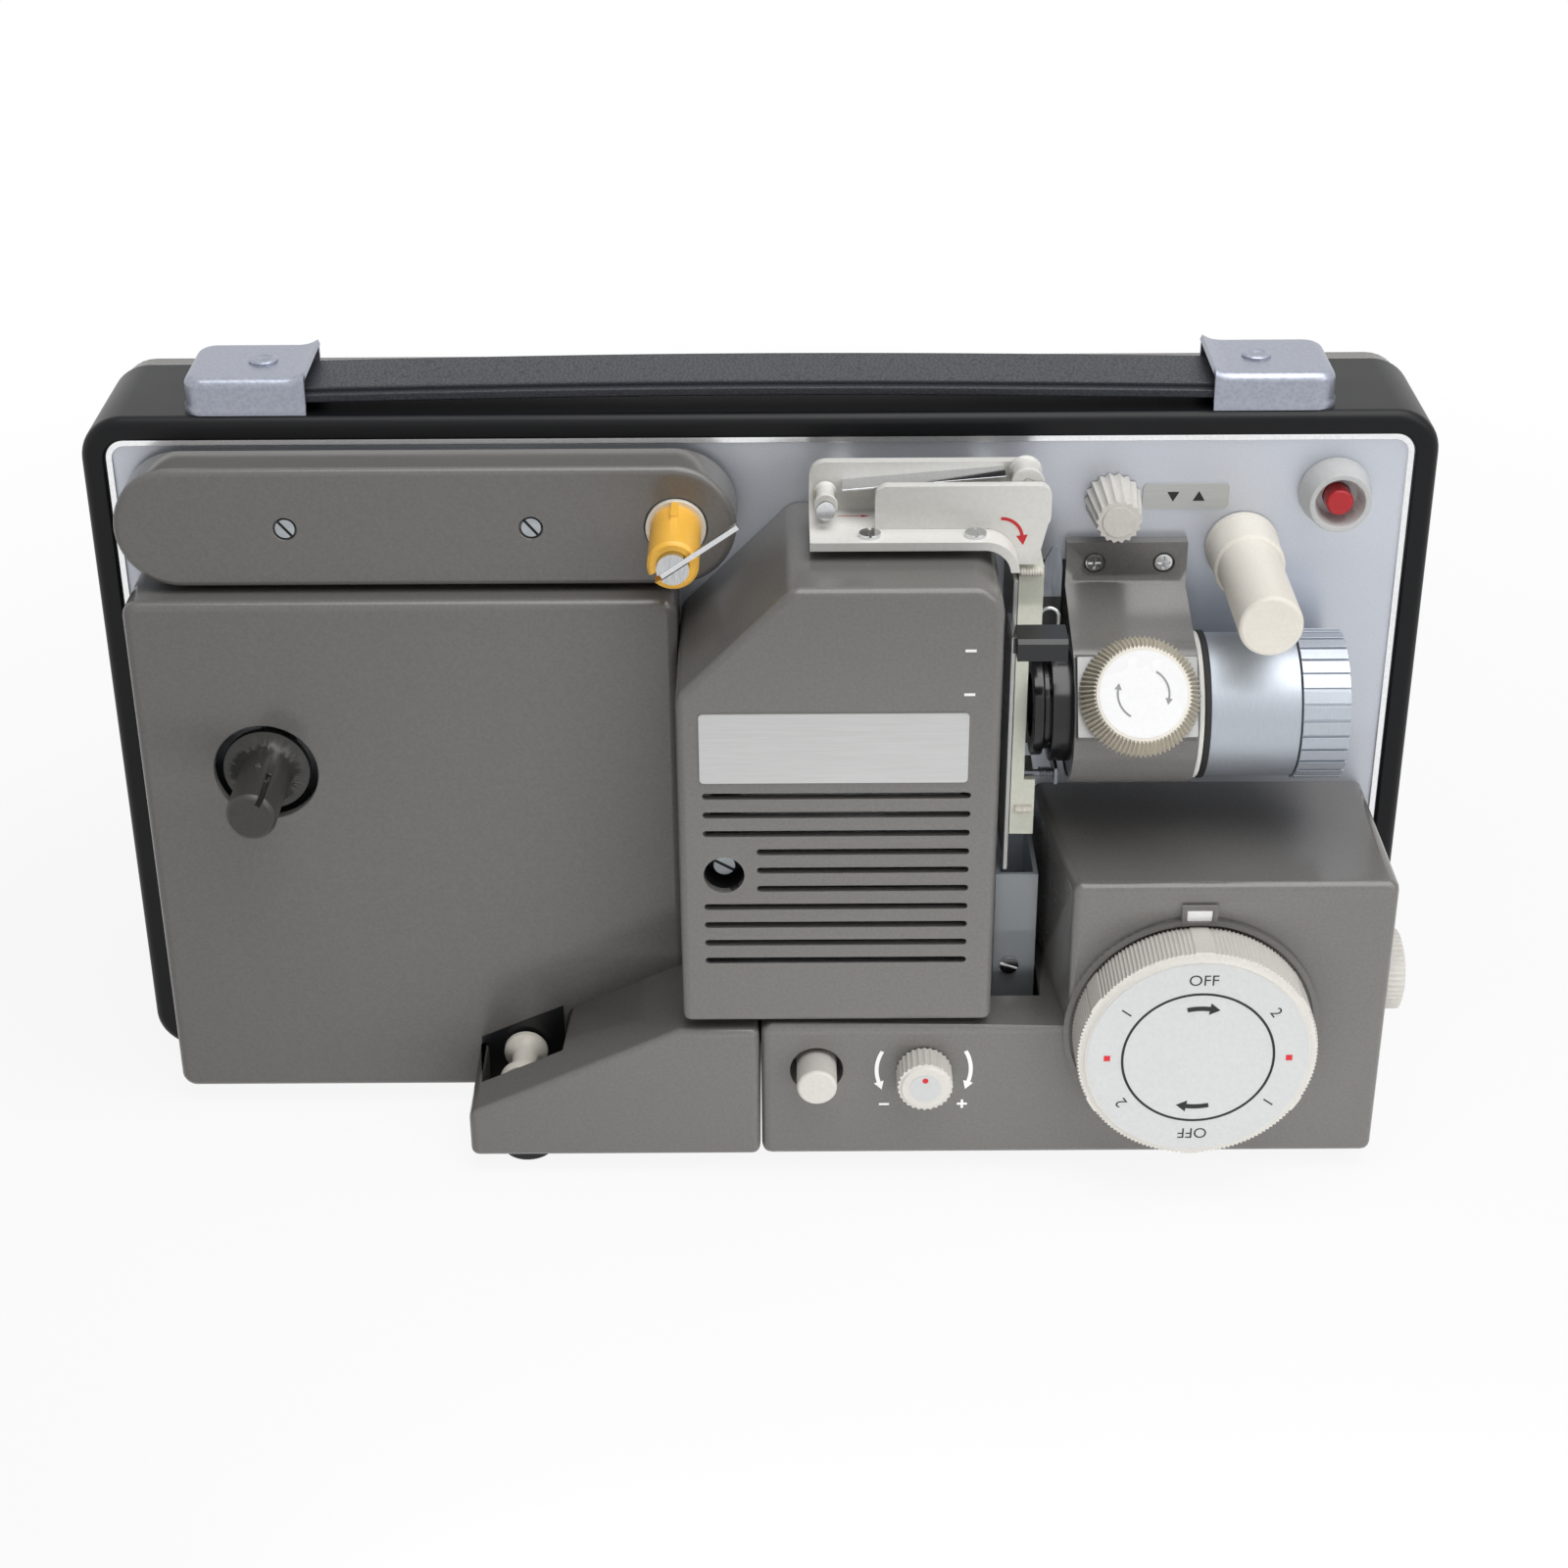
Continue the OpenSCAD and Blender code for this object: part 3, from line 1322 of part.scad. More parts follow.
module focus_knob() {
    base = focus_pad + gap;
    color(cream) in_frame()
    translate([focus_x, -film_y, optic_z]) rotate([-focus_tilt, 0, 0]) rotate([90, 0, 0]) {
        translate([0, 0, base]) linear_extrude(1.6) toothed(focus_r, 0.9, focus_teeth);
        translate([0, 0, base + 1.6]) linear_extrude(focus_h - 2.2, scale = (focus_disc_r + 0.7) / focus_r)
            toothed(focus_r, 0.9, focus_teeth);
        translate([0, 0, base + focus_h - 0.7]) cylinder(h = 0.7, r = focus_disc_r);
        translate([0, 0, barrel_r - 2.6]) cylinder(h = base - barrel_r + 2.7, r = focus_shaft_r);
    }
}

// Fasteners that stay with the body

module steel_screws() {
    color(steel) in_frame() {
        for (x = guide_screw_x) {
            bar_z(x, ledge_front - ledge_w / 2, 1.2, guide_low - 1, guide_low + ledge_t);
            difference() {
                bar_z(x, ledge_front - ledge_w / 2, 2.6, guide_low + ledge_t, guide_low + ledge_t + 1);
                translate([x, -ledge_front + ledge_w / 2, guide_low + ledge_t + 1])
                    cube([0.7, 8, 1], center = true);
            }
        }
        for (x = holder_screw_x) {
            cross_head(x, holder_screw_z, 2.2, flange_t - 0.2, flange_t - 1.2);
            bar_y(x, holder_screw_z, 1.2, flange_t - 1.2 + eps, 0);
        }
        bar_y(roller_left[0], roller_left[1], 2.3, plate_front + 0.7, plate_front - 0.6);
        slot_head(lower_left + 4.2, lower_low + 20, 2.4, lower_front + 1, lower_front, 20);
        bar_y(lower_left + 4.2, lower_low + 20, 1.2, lower_front + eps, lower_front - 1.2);
        for (p = rear_screw_pos) cross_head(p[0], p[1], 2.5, -rear_y + 3, -rear_y + 1, true);
    }
}

module cross_head(x, z, r, front, back, back_side = false) {
    face = back_side ? -back : -front;
    difference() {
        bar_y(x, z, r, front, back);
        for (turn = [0, 90]) translate([x, face, z]) rotate([0, turn, 0])
            cube([1.5 * r, 1.2, 0.6], center = true);
    }
}

// Controls

module framing_knob() {
    length = 14.4;
    color(cream) in_frame() {
        translate([framing_x, -gap, framing_axis_z]) rotate([90, 0, 0])
            linear_extrude(length, scale = 0.8) toothed(framing_r, 0.9, 18);
        bar_y(framing_x, framing_axis_z, 4, gap + length + 0.4, gap + length - eps);
        bar_y(framing_x, framing_axis_z, 3, gap + eps, -panel_t - 3);
    }
}

module inching_knob() {
    color(cream) in_frame() turned_y(inch_x, inch_axis_z,
        [[0, gap], [inch_r + 0.4, gap], [inch_r + 0.4, 3], [inch_r, 3.4], [inch_r, 14], [inch_r - 1.1, 15],
         [inch_r - 1.1, inch_tip - 0.7], [inch_r - 1.8, inch_tip], [0, inch_tip]]);
}

// The shaft behind the inching knob with its gear and its two pulleys
module main_shaft() {
    color(steel) in_frame() {
        bar_y(inch_x, inch_axis_z, inch_shaft_r, gap, -takeup_drive_y - belt_w - 1);
        translate([inch_x, shutter_y + gear_half, inch_axis_z]) rotate([90, 0, 0])
            linear_extrude(2 * gear_half) toothed(main_gear_r, 1, 60);
        pulley(inch_x, inch_axis_z, takeup_drive_r, takeup_drive_y);
        pulley(inch_x, inch_axis_z, main_pulley_r, drive_pulley_y);
    }
}

module button_bezel() {
    color(panel_silver) in_frame() difference() {
        turned_y(push_x, push_axis_z, [[0, 0], [bezel_r + 0.8, 0], [bezel_r + 0.8, 1.4],
                                  [bezel_r - 0.6, bezel_h], [0, bezel_h]]);
        turned_y(push_x, push_axis_z,
                 [[0, 3], [push_r + 1.6, 3], [bezel_r - 2, bezel_h + eps], [0, bezel_h + 1]]);
        bar_y(push_x, push_axis_z, push_r + run, bezel_h, -1);
    }
}

module push_button() {
    color("#c8202c") in_frame() turned_y(push_x, push_axis_z,
        [[0, -panel_t - 1], [push_r - 0.3, -panel_t - 1], [push_r - 0.3, 0], [push_r, 0],
         [push_r, bezel_h - 0.9], [push_r - 0.5, bezel_h - 0.4], [0, bezel_h - 0.4]]);
}

// The knurl is broken by smooth bars
module dial_knob() {
    back = box_depth + dial_gap;
    front = back + dial_h;
    color(cream) in_frame() {
        toothed_y(dial_x, dial_z, front - 1.2, back, dial_r, 0.55, dial_teeth, dial_bars, 4.5);
        turned_y(dial_x, dial_z, [[0, front - 1.2 - eps], [dial_r - 0.8, front - 1.2 - eps],
                                  [dial_r - 2, front], [0, front]]);
        bar_y(dial_x, dial_z, dial_shaft_r, back + eps, box_depth - cover_wall - 4);
        bar_y(dial_x, dial_z, dial_shaft_r + 6, box_depth - cover_wall - gap, box_depth - cover_wall - 4);
    }
}

module slow_button() {
    color(cream) in_frame() turned_y(slow_x, button_z,
        [[0, box_depth - 18], [2.5, box_depth - 18], [2.5, box_depth - 6.6], [slow_r, box_depth - 6.6],
         [slow_r, slow_tip - 0.6], [slow_r - 0.6, slow_tip], [0, slow_tip]]);
}

module speed_knob() {
    back = box_depth + gap;
    color(cream) in_frame() {
        toothed_y(speed_x, button_z, speed_tip - 0.6, back, speed_r, 0.5, 28);
        turned_y(speed_x, button_z, [[0, speed_tip - 0.6 - eps], [speed_r - 0.7, speed_tip - 0.6 - eps],
            [speed_r - 1.3, speed_tip], [0, speed_tip]]);
        bar_y(speed_x, button_z, speed_shaft_r, back + eps, box_depth - 10);
    }
}

// The knob on the right side turns a pinion against the tilt rod
module tilt_knob() {
    left = control_right + gap;
    color(cream) in_frame() {
        translate([left, -tilt_y, tilt_z]) rotate([90, 0, 90])
            linear_extrude(tilt_knob_l) toothed(tilt_r, 0.6, 44);
        bar_x(tilt_y, tilt_z, tilt_r - 2, left + tilt_knob_l - eps, left + tilt_knob_l + 0.6);
        bar_x(tilt_y, tilt_z, tilt_shaft_r, tilt_rod_x - 6, left + eps);
        bar_x(tilt_y, tilt_z, tilt_pinion_r, tilt_rod_x - 5, tilt_rod_x + 5);
    }
}

module tilt_foot() {
    color(black) in_frame() {
        bar_z(tilt_rod_x, tilt_rod_y, foot_r + 1, -foot_h, -gap);
        bar_z(tilt_rod_x, tilt_rod_y, tilt_rod_r, -gap - eps, control_top - tilt_rod_drop);
    }
}

// Drive

module shaft_bearings() {
    color("#b08d57") in_frame() {
        for (b = [bearing_a, bearing_b]) difference() {
            block(b, [-panel_t - 0.5, -chassis_y], [shutter_axis_z - 7, shutter_axis_z + 3.5]);
            bar_x(-shutter_y, shutter_axis_z, shutter_shaft_r + run, b[0] - 1, b[1] + 1);
        }
        difference() {
            bar_y(inch_x, inch_axis_z, main_bush_r, -chassis_y + 3, -chassis_y - chassis_t);
            bar_y(inch_x, inch_axis_z, inch_shaft_r + run, 0, -band_depth);
        }
    }
}

// Two blades pass the gate on each turn
module shutter() {
    blade = 80;
    color(black) in_frame() {
        translate([shutter_x, shutter_y, shutter_axis_z]) rotate([90, 0, 90]) linear_extrude(shutter_t)
        difference() {
            circle(shutter_r);
            for (a = [0, 180]) rotate(a)
                polygon([[16, 0], [60, -60 * tan(blade / 2)], [60, 60 * tan(blade / 2)]]);
        }
        bar_x(-shutter_y, shutter_axis_z, shutter_shaft_r, shutter_x - 3, shutter_end);
        bar_x(-shutter_y, shutter_axis_z, 6, shutter_x - 3, shutter_x + shutter_t + 2);
        translate([inch_x - 4, shutter_y, shutter_axis_z]) rotate([90, 0, 90])
            linear_extrude(8) toothed(shutter_gear_r, 0.8, 10);
    }
}

module motor() {
    color(steel) in_frame() {
        difference() {
            bar_y(motor_x, motor_z, motor_r, -motor_front, -motor_front - motor_l);
            bar_y(motor_x, motor_z, motor_shaft_r + run, 0, -rear_y);
        }
        for (a = [30, 150, 270])
            bar_y(motor_x + (motor_r - 6) * cos(a), motor_z + (motor_r - 6) * sin(a), 3,
                  -chassis_y - chassis_t, -motor_front);
    }
}

// Motor shaft with the drive pulley in front and the cooling fan behind
module motor_rotor() {
    fan_y = motor_front + motor_l + 1;
    color(dark_grey) in_frame() {
        bar_y(motor_x, motor_z, motor_shaft_r, -drive_pulley_y + 3, -fan_y - fan_l);
        pulley(motor_x, motor_z, motor_pulley_r, drive_pulley_y);
        bar_y(motor_x, motor_z, 9, -fan_y, -fan_y - fan_l);
        for (i = [0 : 9]) translate([motor_x, fan_y, motor_z]) rotate([0, 36 * i, 0])
            translate([8, 0, -0.6]) cube([fan_r - 8, fan_l, 1.2]);
    }
}

module drive_belt() {
    color(black) in_frame()
        belt([motor_x, motor_z], motor_pulley_r, [inch_x, inch_axis_z], main_pulley_r, drive_pulley_y);
}

module transformer() {
    back = chassis_y + chassis_t;
    color("#7a5a3a") in_frame() {
        block([core_left, core_right], [-back, -back - core_d], [core_low, core_high]);
        block([core_left + coil_in, core_right - coil_in], [-back - core_d, -back - core_d - coil_d],
              [core_low + coil_in, core_high - coil_in]);
    }
}

module inlet_outline(grow) {
    half = [inlet_w / 2 + grow, inlet_h / 2 + grow];
    round_rect(inlet_x - half[0], inlet_x + half[0], inlet_z - half[1], inlet_z + half[1], max(3 + grow, 2));
}

// The socket for the mains lead, in the back of the rear cover
module mains_inlet() {
    color(black) in_frame() difference() {
        slab(-rear_y + 12, -rear_y) inlet_outline(0);
        slab(-rear_y + 10, -rear_y - 1) inlet_outline(-inlet_wall);
    }
    color(steel) in_frame() for (x = [inlet_x - inlet_pin, inlet_x + inlet_pin])
        bar_y(x, inlet_z, 1.2, -rear_y + 10 + eps, -rear_y + 5);
}

case_band();
rear_cover();
front_panel();
chassis_plate();
feet();
handle_caps();
handle_strap();
take_up_cover();
base_cover();
control_housing();
lamphouse_cover();
cover_screw();
lamp();
lamp_socket();
arm_pivot();
supply_arm();
arm_screws();
spindle_collar();
supply_spindle();
spindle_stud();
reel_clip();
take_up_spindle();
take_up_pulley();
take_up_belt();
film_guide();
guide_plate();
guide_roller_left();
guide_roller_right();
tension_strip();
aperture_plate();
pressure_gate();
gate_spring();
gate_arm();
selector_lever();
lower_guide();
exit_roller();
lens_holder();
lens_barrel();
rear_barrel();
lens_glass();
zoom_ring();
focus_knob();
steel_screws();
framing_knob();
inching_knob();
main_shaft();
button_bezel();
push_button();
dial_knob();
slow_button();
speed_knob();
tilt_knob();
tilt_foot();
shaft_bearings();
shutter();
motor();
motor_rotor();
drive_belt();
transformer();
mains_inlet();
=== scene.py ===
# %% [markdown]
# # A small-gauge movie projector
#
# The imported frame holds every solid of the machine at its real size. This lesson dresses it: it
# rounds the edges that a mould, a press or a lathe leaves round, gives each surface a procedural
# finish, and adds the thin things that lie on the solids, such as plates, printed marks and black
# sheets of painted shade.

# %% Load the frame
import json
import math

import bmesh
import bpy
from mathutils import Matrix, Vector

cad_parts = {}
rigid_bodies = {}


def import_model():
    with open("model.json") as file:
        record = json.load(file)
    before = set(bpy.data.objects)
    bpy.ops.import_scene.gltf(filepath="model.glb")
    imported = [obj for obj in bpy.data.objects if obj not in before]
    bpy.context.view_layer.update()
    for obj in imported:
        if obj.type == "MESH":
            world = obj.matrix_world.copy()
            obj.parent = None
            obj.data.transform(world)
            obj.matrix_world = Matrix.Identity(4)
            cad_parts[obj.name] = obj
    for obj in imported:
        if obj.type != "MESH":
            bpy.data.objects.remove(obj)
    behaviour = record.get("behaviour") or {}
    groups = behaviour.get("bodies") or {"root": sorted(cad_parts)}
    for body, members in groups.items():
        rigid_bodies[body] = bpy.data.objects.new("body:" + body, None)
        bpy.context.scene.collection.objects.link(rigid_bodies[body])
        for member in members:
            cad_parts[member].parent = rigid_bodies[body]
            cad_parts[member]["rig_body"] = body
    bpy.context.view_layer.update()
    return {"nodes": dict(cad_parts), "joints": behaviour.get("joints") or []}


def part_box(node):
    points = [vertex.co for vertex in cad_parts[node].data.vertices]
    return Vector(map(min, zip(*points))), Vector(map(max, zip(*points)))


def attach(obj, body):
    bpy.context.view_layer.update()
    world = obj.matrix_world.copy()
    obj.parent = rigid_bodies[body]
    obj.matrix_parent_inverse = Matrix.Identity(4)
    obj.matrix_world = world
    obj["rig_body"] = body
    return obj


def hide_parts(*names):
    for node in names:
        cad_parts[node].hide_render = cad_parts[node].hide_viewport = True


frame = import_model()
nodes = frame["nodes"]
MM = 0.001


def metres(*lengths):
    """Several lengths that are given in millimetres."""
    return [length * MM for length in lengths]


def in_mm(length):
    """A length in millimetres, rounded for print."""
    return round(length / MM, 1)


# %% [markdown]
# ## Camera
#
# The photograph looks down on the threading side from a little above. A camera can be set by eye,
# but straight edges of known direction give its place and its focal length in pixels, so both are
# written here as they were found. The picture is square, so the focal length in pixels gives the
# lens directly.

# %% Camera
PICTURE_PX = 1600
FOCAL_PX = 2811
SENSOR_MM = 36
CAMERA_AT = Vector((5.4, -645.3, 433)) * MM
LOOK_DOWN = math.radians(28.7)
ROLL = math.radians(-0.315)

camera_data = bpy.data.cameras.new("camera")
camera_data.sensor_width = SENSOR_MM
camera_data.lens = SENSOR_MM * FOCAL_PX / PICTURE_PX
camera = bpy.data.objects.new("camera", camera_data)
camera.matrix_world = (
    Matrix.Translation(CAMERA_AT)
    @ Matrix.Rotation(math.pi / 2 - LOOK_DOWN, 4, "X")
    @ Matrix.Rotation(ROLL, 4, "Z")
)
bpy.context.scene.collection.objects.link(camera)
bpy.context.scene.camera = camera
bpy.context.scene.view_settings.view_transform = "Standard"
print("lens", round(camera_data.lens, 2), "mm")

# %% [markdown]
# ## Colour and nodes
#
# Colours are picked as sRGB hex values, as a paint chart gives them, and shaders want linear
# light, so one function turns the first into the second. Nodes could be made and linked line by
# line, but a finish would then take a page, so another small function adds a node, sets it and
# links it. Every finish below is built with these.


# %% Colour and node helpers
def linear(colour):
    """An sRGB hex colour as linear red, green, blue and an alpha of 1."""
    parts = [int(colour[i : i + 2], 16) / 255 for i in (1, 3, 5)]
    light = [c / 12.92 if c <= 0.04045 else ((c + 0.055) / 1.055) ** 2.4 for c in parts]
    return (*light, 1.0)


def add(tree, kind, inputs=None, **settings):
    """A new node. Settings are its properties, and inputs are values or sockets to link."""
    made = tree.nodes.new(kind)
    for name, value in settings.items():
        setattr(made, name, value)
    for name, value in (inputs or {}).items():
        if isinstance(value, bpy.types.NodeSocket):
            tree.links.new(value, made.inputs[name])
        else:
            made.inputs[name].default_value = value
    return made


def start_finish(name, **sockets):
    """A material with its shader, whose plain sockets are set, and the piece's coordinates."""
    material = bpy.data.materials.new(name)
    material.use_nodes = True
    tree = material.node_tree
    tree.nodes.clear()
    plain = {socket.replace("_", " "): value for socket, value in sockets.items()}
    shader = add(tree, "ShaderNodeBsdfPrincipled", plain)
    add(tree, "ShaderNodeOutputMaterial", {"Surface": shader.outputs["BSDF"]})
    place = add(tree, "ShaderNodeTexCoord").outputs["Object"]
    return material, tree, shader, place


def two_tones(tree, pattern, dark, light, low=0.3, high=0.7):
    """A pattern as a change from one hex colour to another over the middle of its range."""
    ramp = add(tree, "ShaderNodeValToRGB", {"Fac": pattern})
    for element, spot, colour in zip(ramp.color_ramp.elements, (low, high), (dark, light)):
        element.position = spot
        element.color = linear(colour)
    return ramp.outputs["Color"]


def dress(tree, shader, colour, gloss, relief):
    """Gives a shader the colour, the gloss and the relief that were made for it."""
    tree.links.new(colour, shader.inputs["Base Color"])
    tree.links.new(gloss.outputs["Result"], shader.inputs["Roughness"])
    tree.links.new(relief.outputs["Normal"], shader.inputs["Normal"])


print("middle grey in linear light", round(linear("#808080")[0], 3))

# %% [markdown]
# ## The grain that every moulded or painted surface has
#
# Real paint and plastic are never one flat colour: a spark-eroded mould leaves a fine grain,
# flakes lie in paint, and handling changes the gloss over the width of a hand. Each finish could
# have its own tree of nodes, but most differ only in numbers. So one function gives a surface
# these scales: two close tones mixed by the grain, a relief of the same grain, and a gloss that
# wanders. The grain can be stretched along an axis, which makes it brushed, rolled or turned.

# %% A grained surface
SMEAR_MM = 45


def grained(name, dark, light, grain_mm, roughness, relief_mm, stretch=(1, 1, 1), **sockets):
    """Two close tones in a fine grain with its relief, under a gloss that wanders."""
    material, tree, shader, place = start_finish(name, **sockets)
    drawn = add(tree, "ShaderNodeMapping", {"Vector": place, "Scale": stretch}).outputs["Vector"]
    fine = {"Vector": drawn, "Scale": 1 / (grain_mm * MM), "Detail": 3.0, "Roughness": 0.6}
    grain = add(tree, "ShaderNodeTexNoise", fine).outputs["Fac"]
    broad = {"Vector": place, "Scale": 1 / (SMEAR_MM * MM), "Detail": 4.0}
    smear = add(tree, "ShaderNodeTexNoise", broad).outputs["Fac"]
    span = {"From Min": 0.3, "From Max": 0.7, "To Min": roughness[0], "To Max": roughness[1]}
    gloss = add(tree, "ShaderNodeMapRange", {"Value": smear, **span})
    depth = {"Height": grain, "Strength": 1.0, "Distance": relief_mm * MM}
    relief = add(tree, "ShaderNodeBump", depth)
    dress(tree, shader, two_tones(tree, grain, dark, light), gloss, relief)
    return material


print("gloss wanders over", SMEAR_MM, "mm")

# %% [markdown]
# ## Painted and moulded finishes
#
# The covers are ABS from a mould with an eggshell grain, the case is steel with satin black
# enamel, the panel is steel under aluminium-flake paint, and the knobs are cream or pale grey
# mouldings. Each row gives the two tones, the grain in millimetres, the range of the roughness
# and the relief in millimetres. The grain of a real mould is about 0.2 mm, too fine for the
# render, so it is drawn at 0.5 to 1.2 mm.

# %% Painted and moulded finishes
# Covers: a warm grey with a soft sheen that the eggshell grain breaks up.
cover_plastic = grained("eggshell_abs_warm_grey", "#6c6a67", "#747270", 0.7, (0.16, 0.22), 0.005)
# Case: a deep black with a dull, even sheen.
case_enamel = grained(
    "satin_black_enamel", "#07080a", "#0c0d11", 0.9, (0.36, 0.44), 0.004, Specular_IOR_Level=0.25
)
# Panel: partly metallic, so it takes up the white round it and sparkles a little.
panel_paint = grained(
    "aluminium_flake_paint", "#c4c8d1", "#cdd1d9", 0.5, (0.36, 0.44), 0.003, Metallic=0.7
)
# Knobs: warm cream or cool pale grey, and a darker cream that is painted shade between the teeth.
cream_plastic = grained("cream_urea_moulding", "#e2ddd2", "#e9e4da", 0.9, (0.3, 0.4), 0.004)
groove_shade_cream = grained("cream_moulding_painted_groove_shade", "#a49d8d", "#b3ac9c", 0.9, (0.4, 0.5), 0.006)
dial_plastic = grained("pale_grey_abs", "#c9c6c0", "#d1cec8", 0.9, (0.34, 0.44), 0.004)
# Film path: a pale coat with a hint of green on the gate, and milky mouldings round it.
gate_paint = grained("pale_cream_enamel", "#d8d9ca", "#dfe0d2", 1.0, (0.28, 0.38), 0.004)
guide_plastic = grained("milky_polystyrene", "#dad9d4", "#e1e0dc", 1.2, (0.26, 0.36), 0.003)
# Bright small mouldings: glossier, and strong in colour.
yellow_plastic = grained("yellow_nylon", "#f7b93e", "#fbc452", 0.9, (0.3, 0.4), 0.004)
red_plastic = grained("red_polystyrene", "#b0141e", "#b91924", 1.0, (0.2, 0.3), 0.003)
# Printed faces: a plain moulding, and a whiter, smoother baked coat.
white_plastic = grained("white_polystyrene", "#bfc0c0", "#c5c6c6", 1.0, (0.28, 0.36), 0.002)
white_enamel = grained("white_baked_enamel", "#eeeeef", "#f2f2f3", 1.0, (0.22, 0.3), 0.002)
# Dark mouldings: waxy nylon, glossier ABS, and rubber that hardly shines.
dark_nylon = grained("dark_grey_nylon", "#302f2d", "#3a3937", 0.8, (0.34, 0.46), 0.01)
black_plastic = grained("black_abs", "#121315", "#1b1c1f", 0.8, (0.28, 0.4), 0.008)
rubber = grained("black_rubber", "#151515", "#1f1f1f", 0.9, (0.6, 0.75), 0.02)
print("painted and moulded finishes made, the covers' is", cover_plastic.name)

# %% [markdown]
# ## Metals
#
# Plated steel shows fine marks from turning or rolling. The lens barrel is anodised aluminium
# turned on a lathe, so its marks run round the optical axis: the same grain, squeezed along X and
# drawn out across it. A metal keeps the default IOR, and its colour is the colour of its
# reflection, so no other kind of node is needed.

# %% Metals
# Turned steel: bright, with marks along its length.
plated_steel = grained(
    "nickel_plated_steel",
    "#b4b5b6",
    "#c8c9ca",
    0.5,
    (0.2, 0.32),
    0.004,
    (1, 1, 0.15),
    Metallic=1.0,
)
# Polished: sharp reflections and no marks.
chrome = grained(
    "bright_chromed_steel", "#cfd0d2", "#dcdddf", 0.8, (0.1, 0.18), 0.001, Metallic=1.0
)
polished_edge = grained(
    "polished_aluminium", "#e9eaec", "#f4f5f6", 0.8, (0.16, 0.24), 0.001, Metallic=1.0
)
mirror = grained("mirrored_glass", "#d8dadc", "#e6e8ea", 1.0, (0.05, 0.09), 0.0005, Metallic=1.0)
# Lens barrel: satin, with a broad highlight along it.
turned_aluminium = grained(
    "satin_anodised_aluminium",
    "#adb3bc",
    "#b4bac2",
    0.4,
    (0.4, 0.46),
    0.002,
    (1, 0.2, 0.2),
    Metallic=0.75,
)
# Rear of the barrel: black, with thin bright lines at its edges.
black_anodised = grained(
    "black_anodised_aluminium",
    "#0b0b0d",
    "#131316",
    0.6,
    (0.16, 0.24),
    0.002,
    (1, 0.03, 0.03),
)
# Plates: brushed along X, so they look streaked and flat.
plate_metal = grained(
    "brushed_plate_aluminium",
    "#b9bab9",
    "#c2c3c2",
    0.4,
    (0.4, 0.48),
    0.001,
    (0.03, 1, 1),
    Metallic=0.3,
)
# Springs: greyer, with rolling marks.
spring_steel = grained(
    "rolled_spring_steel",
    "#777b83",
    "#868a92",
    0.5,
    (0.28, 0.38),
    0.003,
    (1, 1, 0.1),
    Metallic=0.5,
)
# Screws and chassis: cool grey zinc in broad patches, and a dark steel that is painted shade in the
# slots.
zinc = grained("zinc_plated_steel", "#93989c", "#adb2b5", 4.0, (0.3, 0.45), 0.003, Metallic=1.0)
slot_shade_steel = grained(
    "slot_shade_steel", "#1d1d1f", "#29292b", 0.5, (0.4, 0.5), 0.004, Metallic=0.5
)
# Bearings: warm and porous. Transformer: thin brown sheets under varnish.
bronze = grained("sintered_bronze", "#8f6d3c", "#a98449", 0.6, (0.35, 0.5), 0.01, Metallic=1.0)
varnished_core = grained(
    "varnished_lamination", "#4b3626", "#5d4530", 0.6, (0.3, 0.45), 0.02, (1, 1, 0.02)
)
print("metals made, the barrel's is", turned_aluminium.name)

# %% [markdown]
# ## Hammered paint and leather-grain vinyl
#
# The handle's caps have hammered paint: silver paint that pools into small dimples as it dries.
# The strap is vinyl embossed as leather, with cells of about 1 mm between fine creases. Noise
# would give bumps of every size, and real dimples and cells are much alike, so both are Voronoi
# cells. The smooth distance to the middle of a cell makes a dimple. The distance to its edge is
# zero in a crease and grows from it, so it makes the creases darker, duller and deeper.


# %% Hammered paint and leather-grain vinyl
def cellular(name, cell_mm, feature, tones, span, gloss, strength, relief_mm, crease=0, **sockets):
    """Cells that give the relief, the gloss and the tone, with creases between them or without."""
    material, tree, shader, place = start_finish(name, **sockets)
    cells = {"Vector": place, "Scale": 1 / (cell_mm * MM)}
    pattern = add(tree, "ShaderNodeTexVoronoi", cells, feature=feature).outputs["Distance"]
    if crease:
        rise = {"Value": pattern, "From Min": 0.0, "From Max": crease}
        pattern = add(tree, "ShaderNodeMapRange", rise).outputs["Result"]
    depth = {"Height": pattern, "Strength": strength, "Distance": relief_mm * MM}
    relief = add(tree, "ShaderNodeBump", depth)
    level = {"Value": pattern, "To Min": gloss[0], "To Max": gloss[1]}
    shine = add(tree, "ShaderNodeMapRange", level)
    dress(tree, shader, two_tones(tree, pattern, *tones, *span), shine, relief)
    return material


cap_paint = cellular(
    "hammered_silver_paint",
    cell_mm=0.9,
    feature="SMOOTH_F1",
    tones=("#979ba8", "#a3a7b3"),
    span=(0.1, 0.6),
    gloss=(0.32, 0.42),
    strength=0.8,
    relief_mm=0.04,
    Metallic=0.75,
)
strap_vinyl = cellular(
    "leather_grain_vinyl",
    cell_mm=1.1,
    feature="DISTANCE_TO_EDGE",
    tones=("#14151b", "#23252e"),
    span=(0.0, 1.0),
    gloss=(0.62, 0.42),
    strength=0.6,
    relief_mm=0.05,
    crease=0.18,
    Specular_IOR_Level=0.45,
)
print("cellular finishes made:", cap_paint.name, "and", strap_vinyl.name)

# %% [markdown]
# ## Acrylic and lens glass
#
# The lower guide is acrylic, gone milky with scuffs, so only part of the light goes through. The
# lens is glass with a faintly blue coating. Both are one clear finish whose roughness follows
# the scuffs.


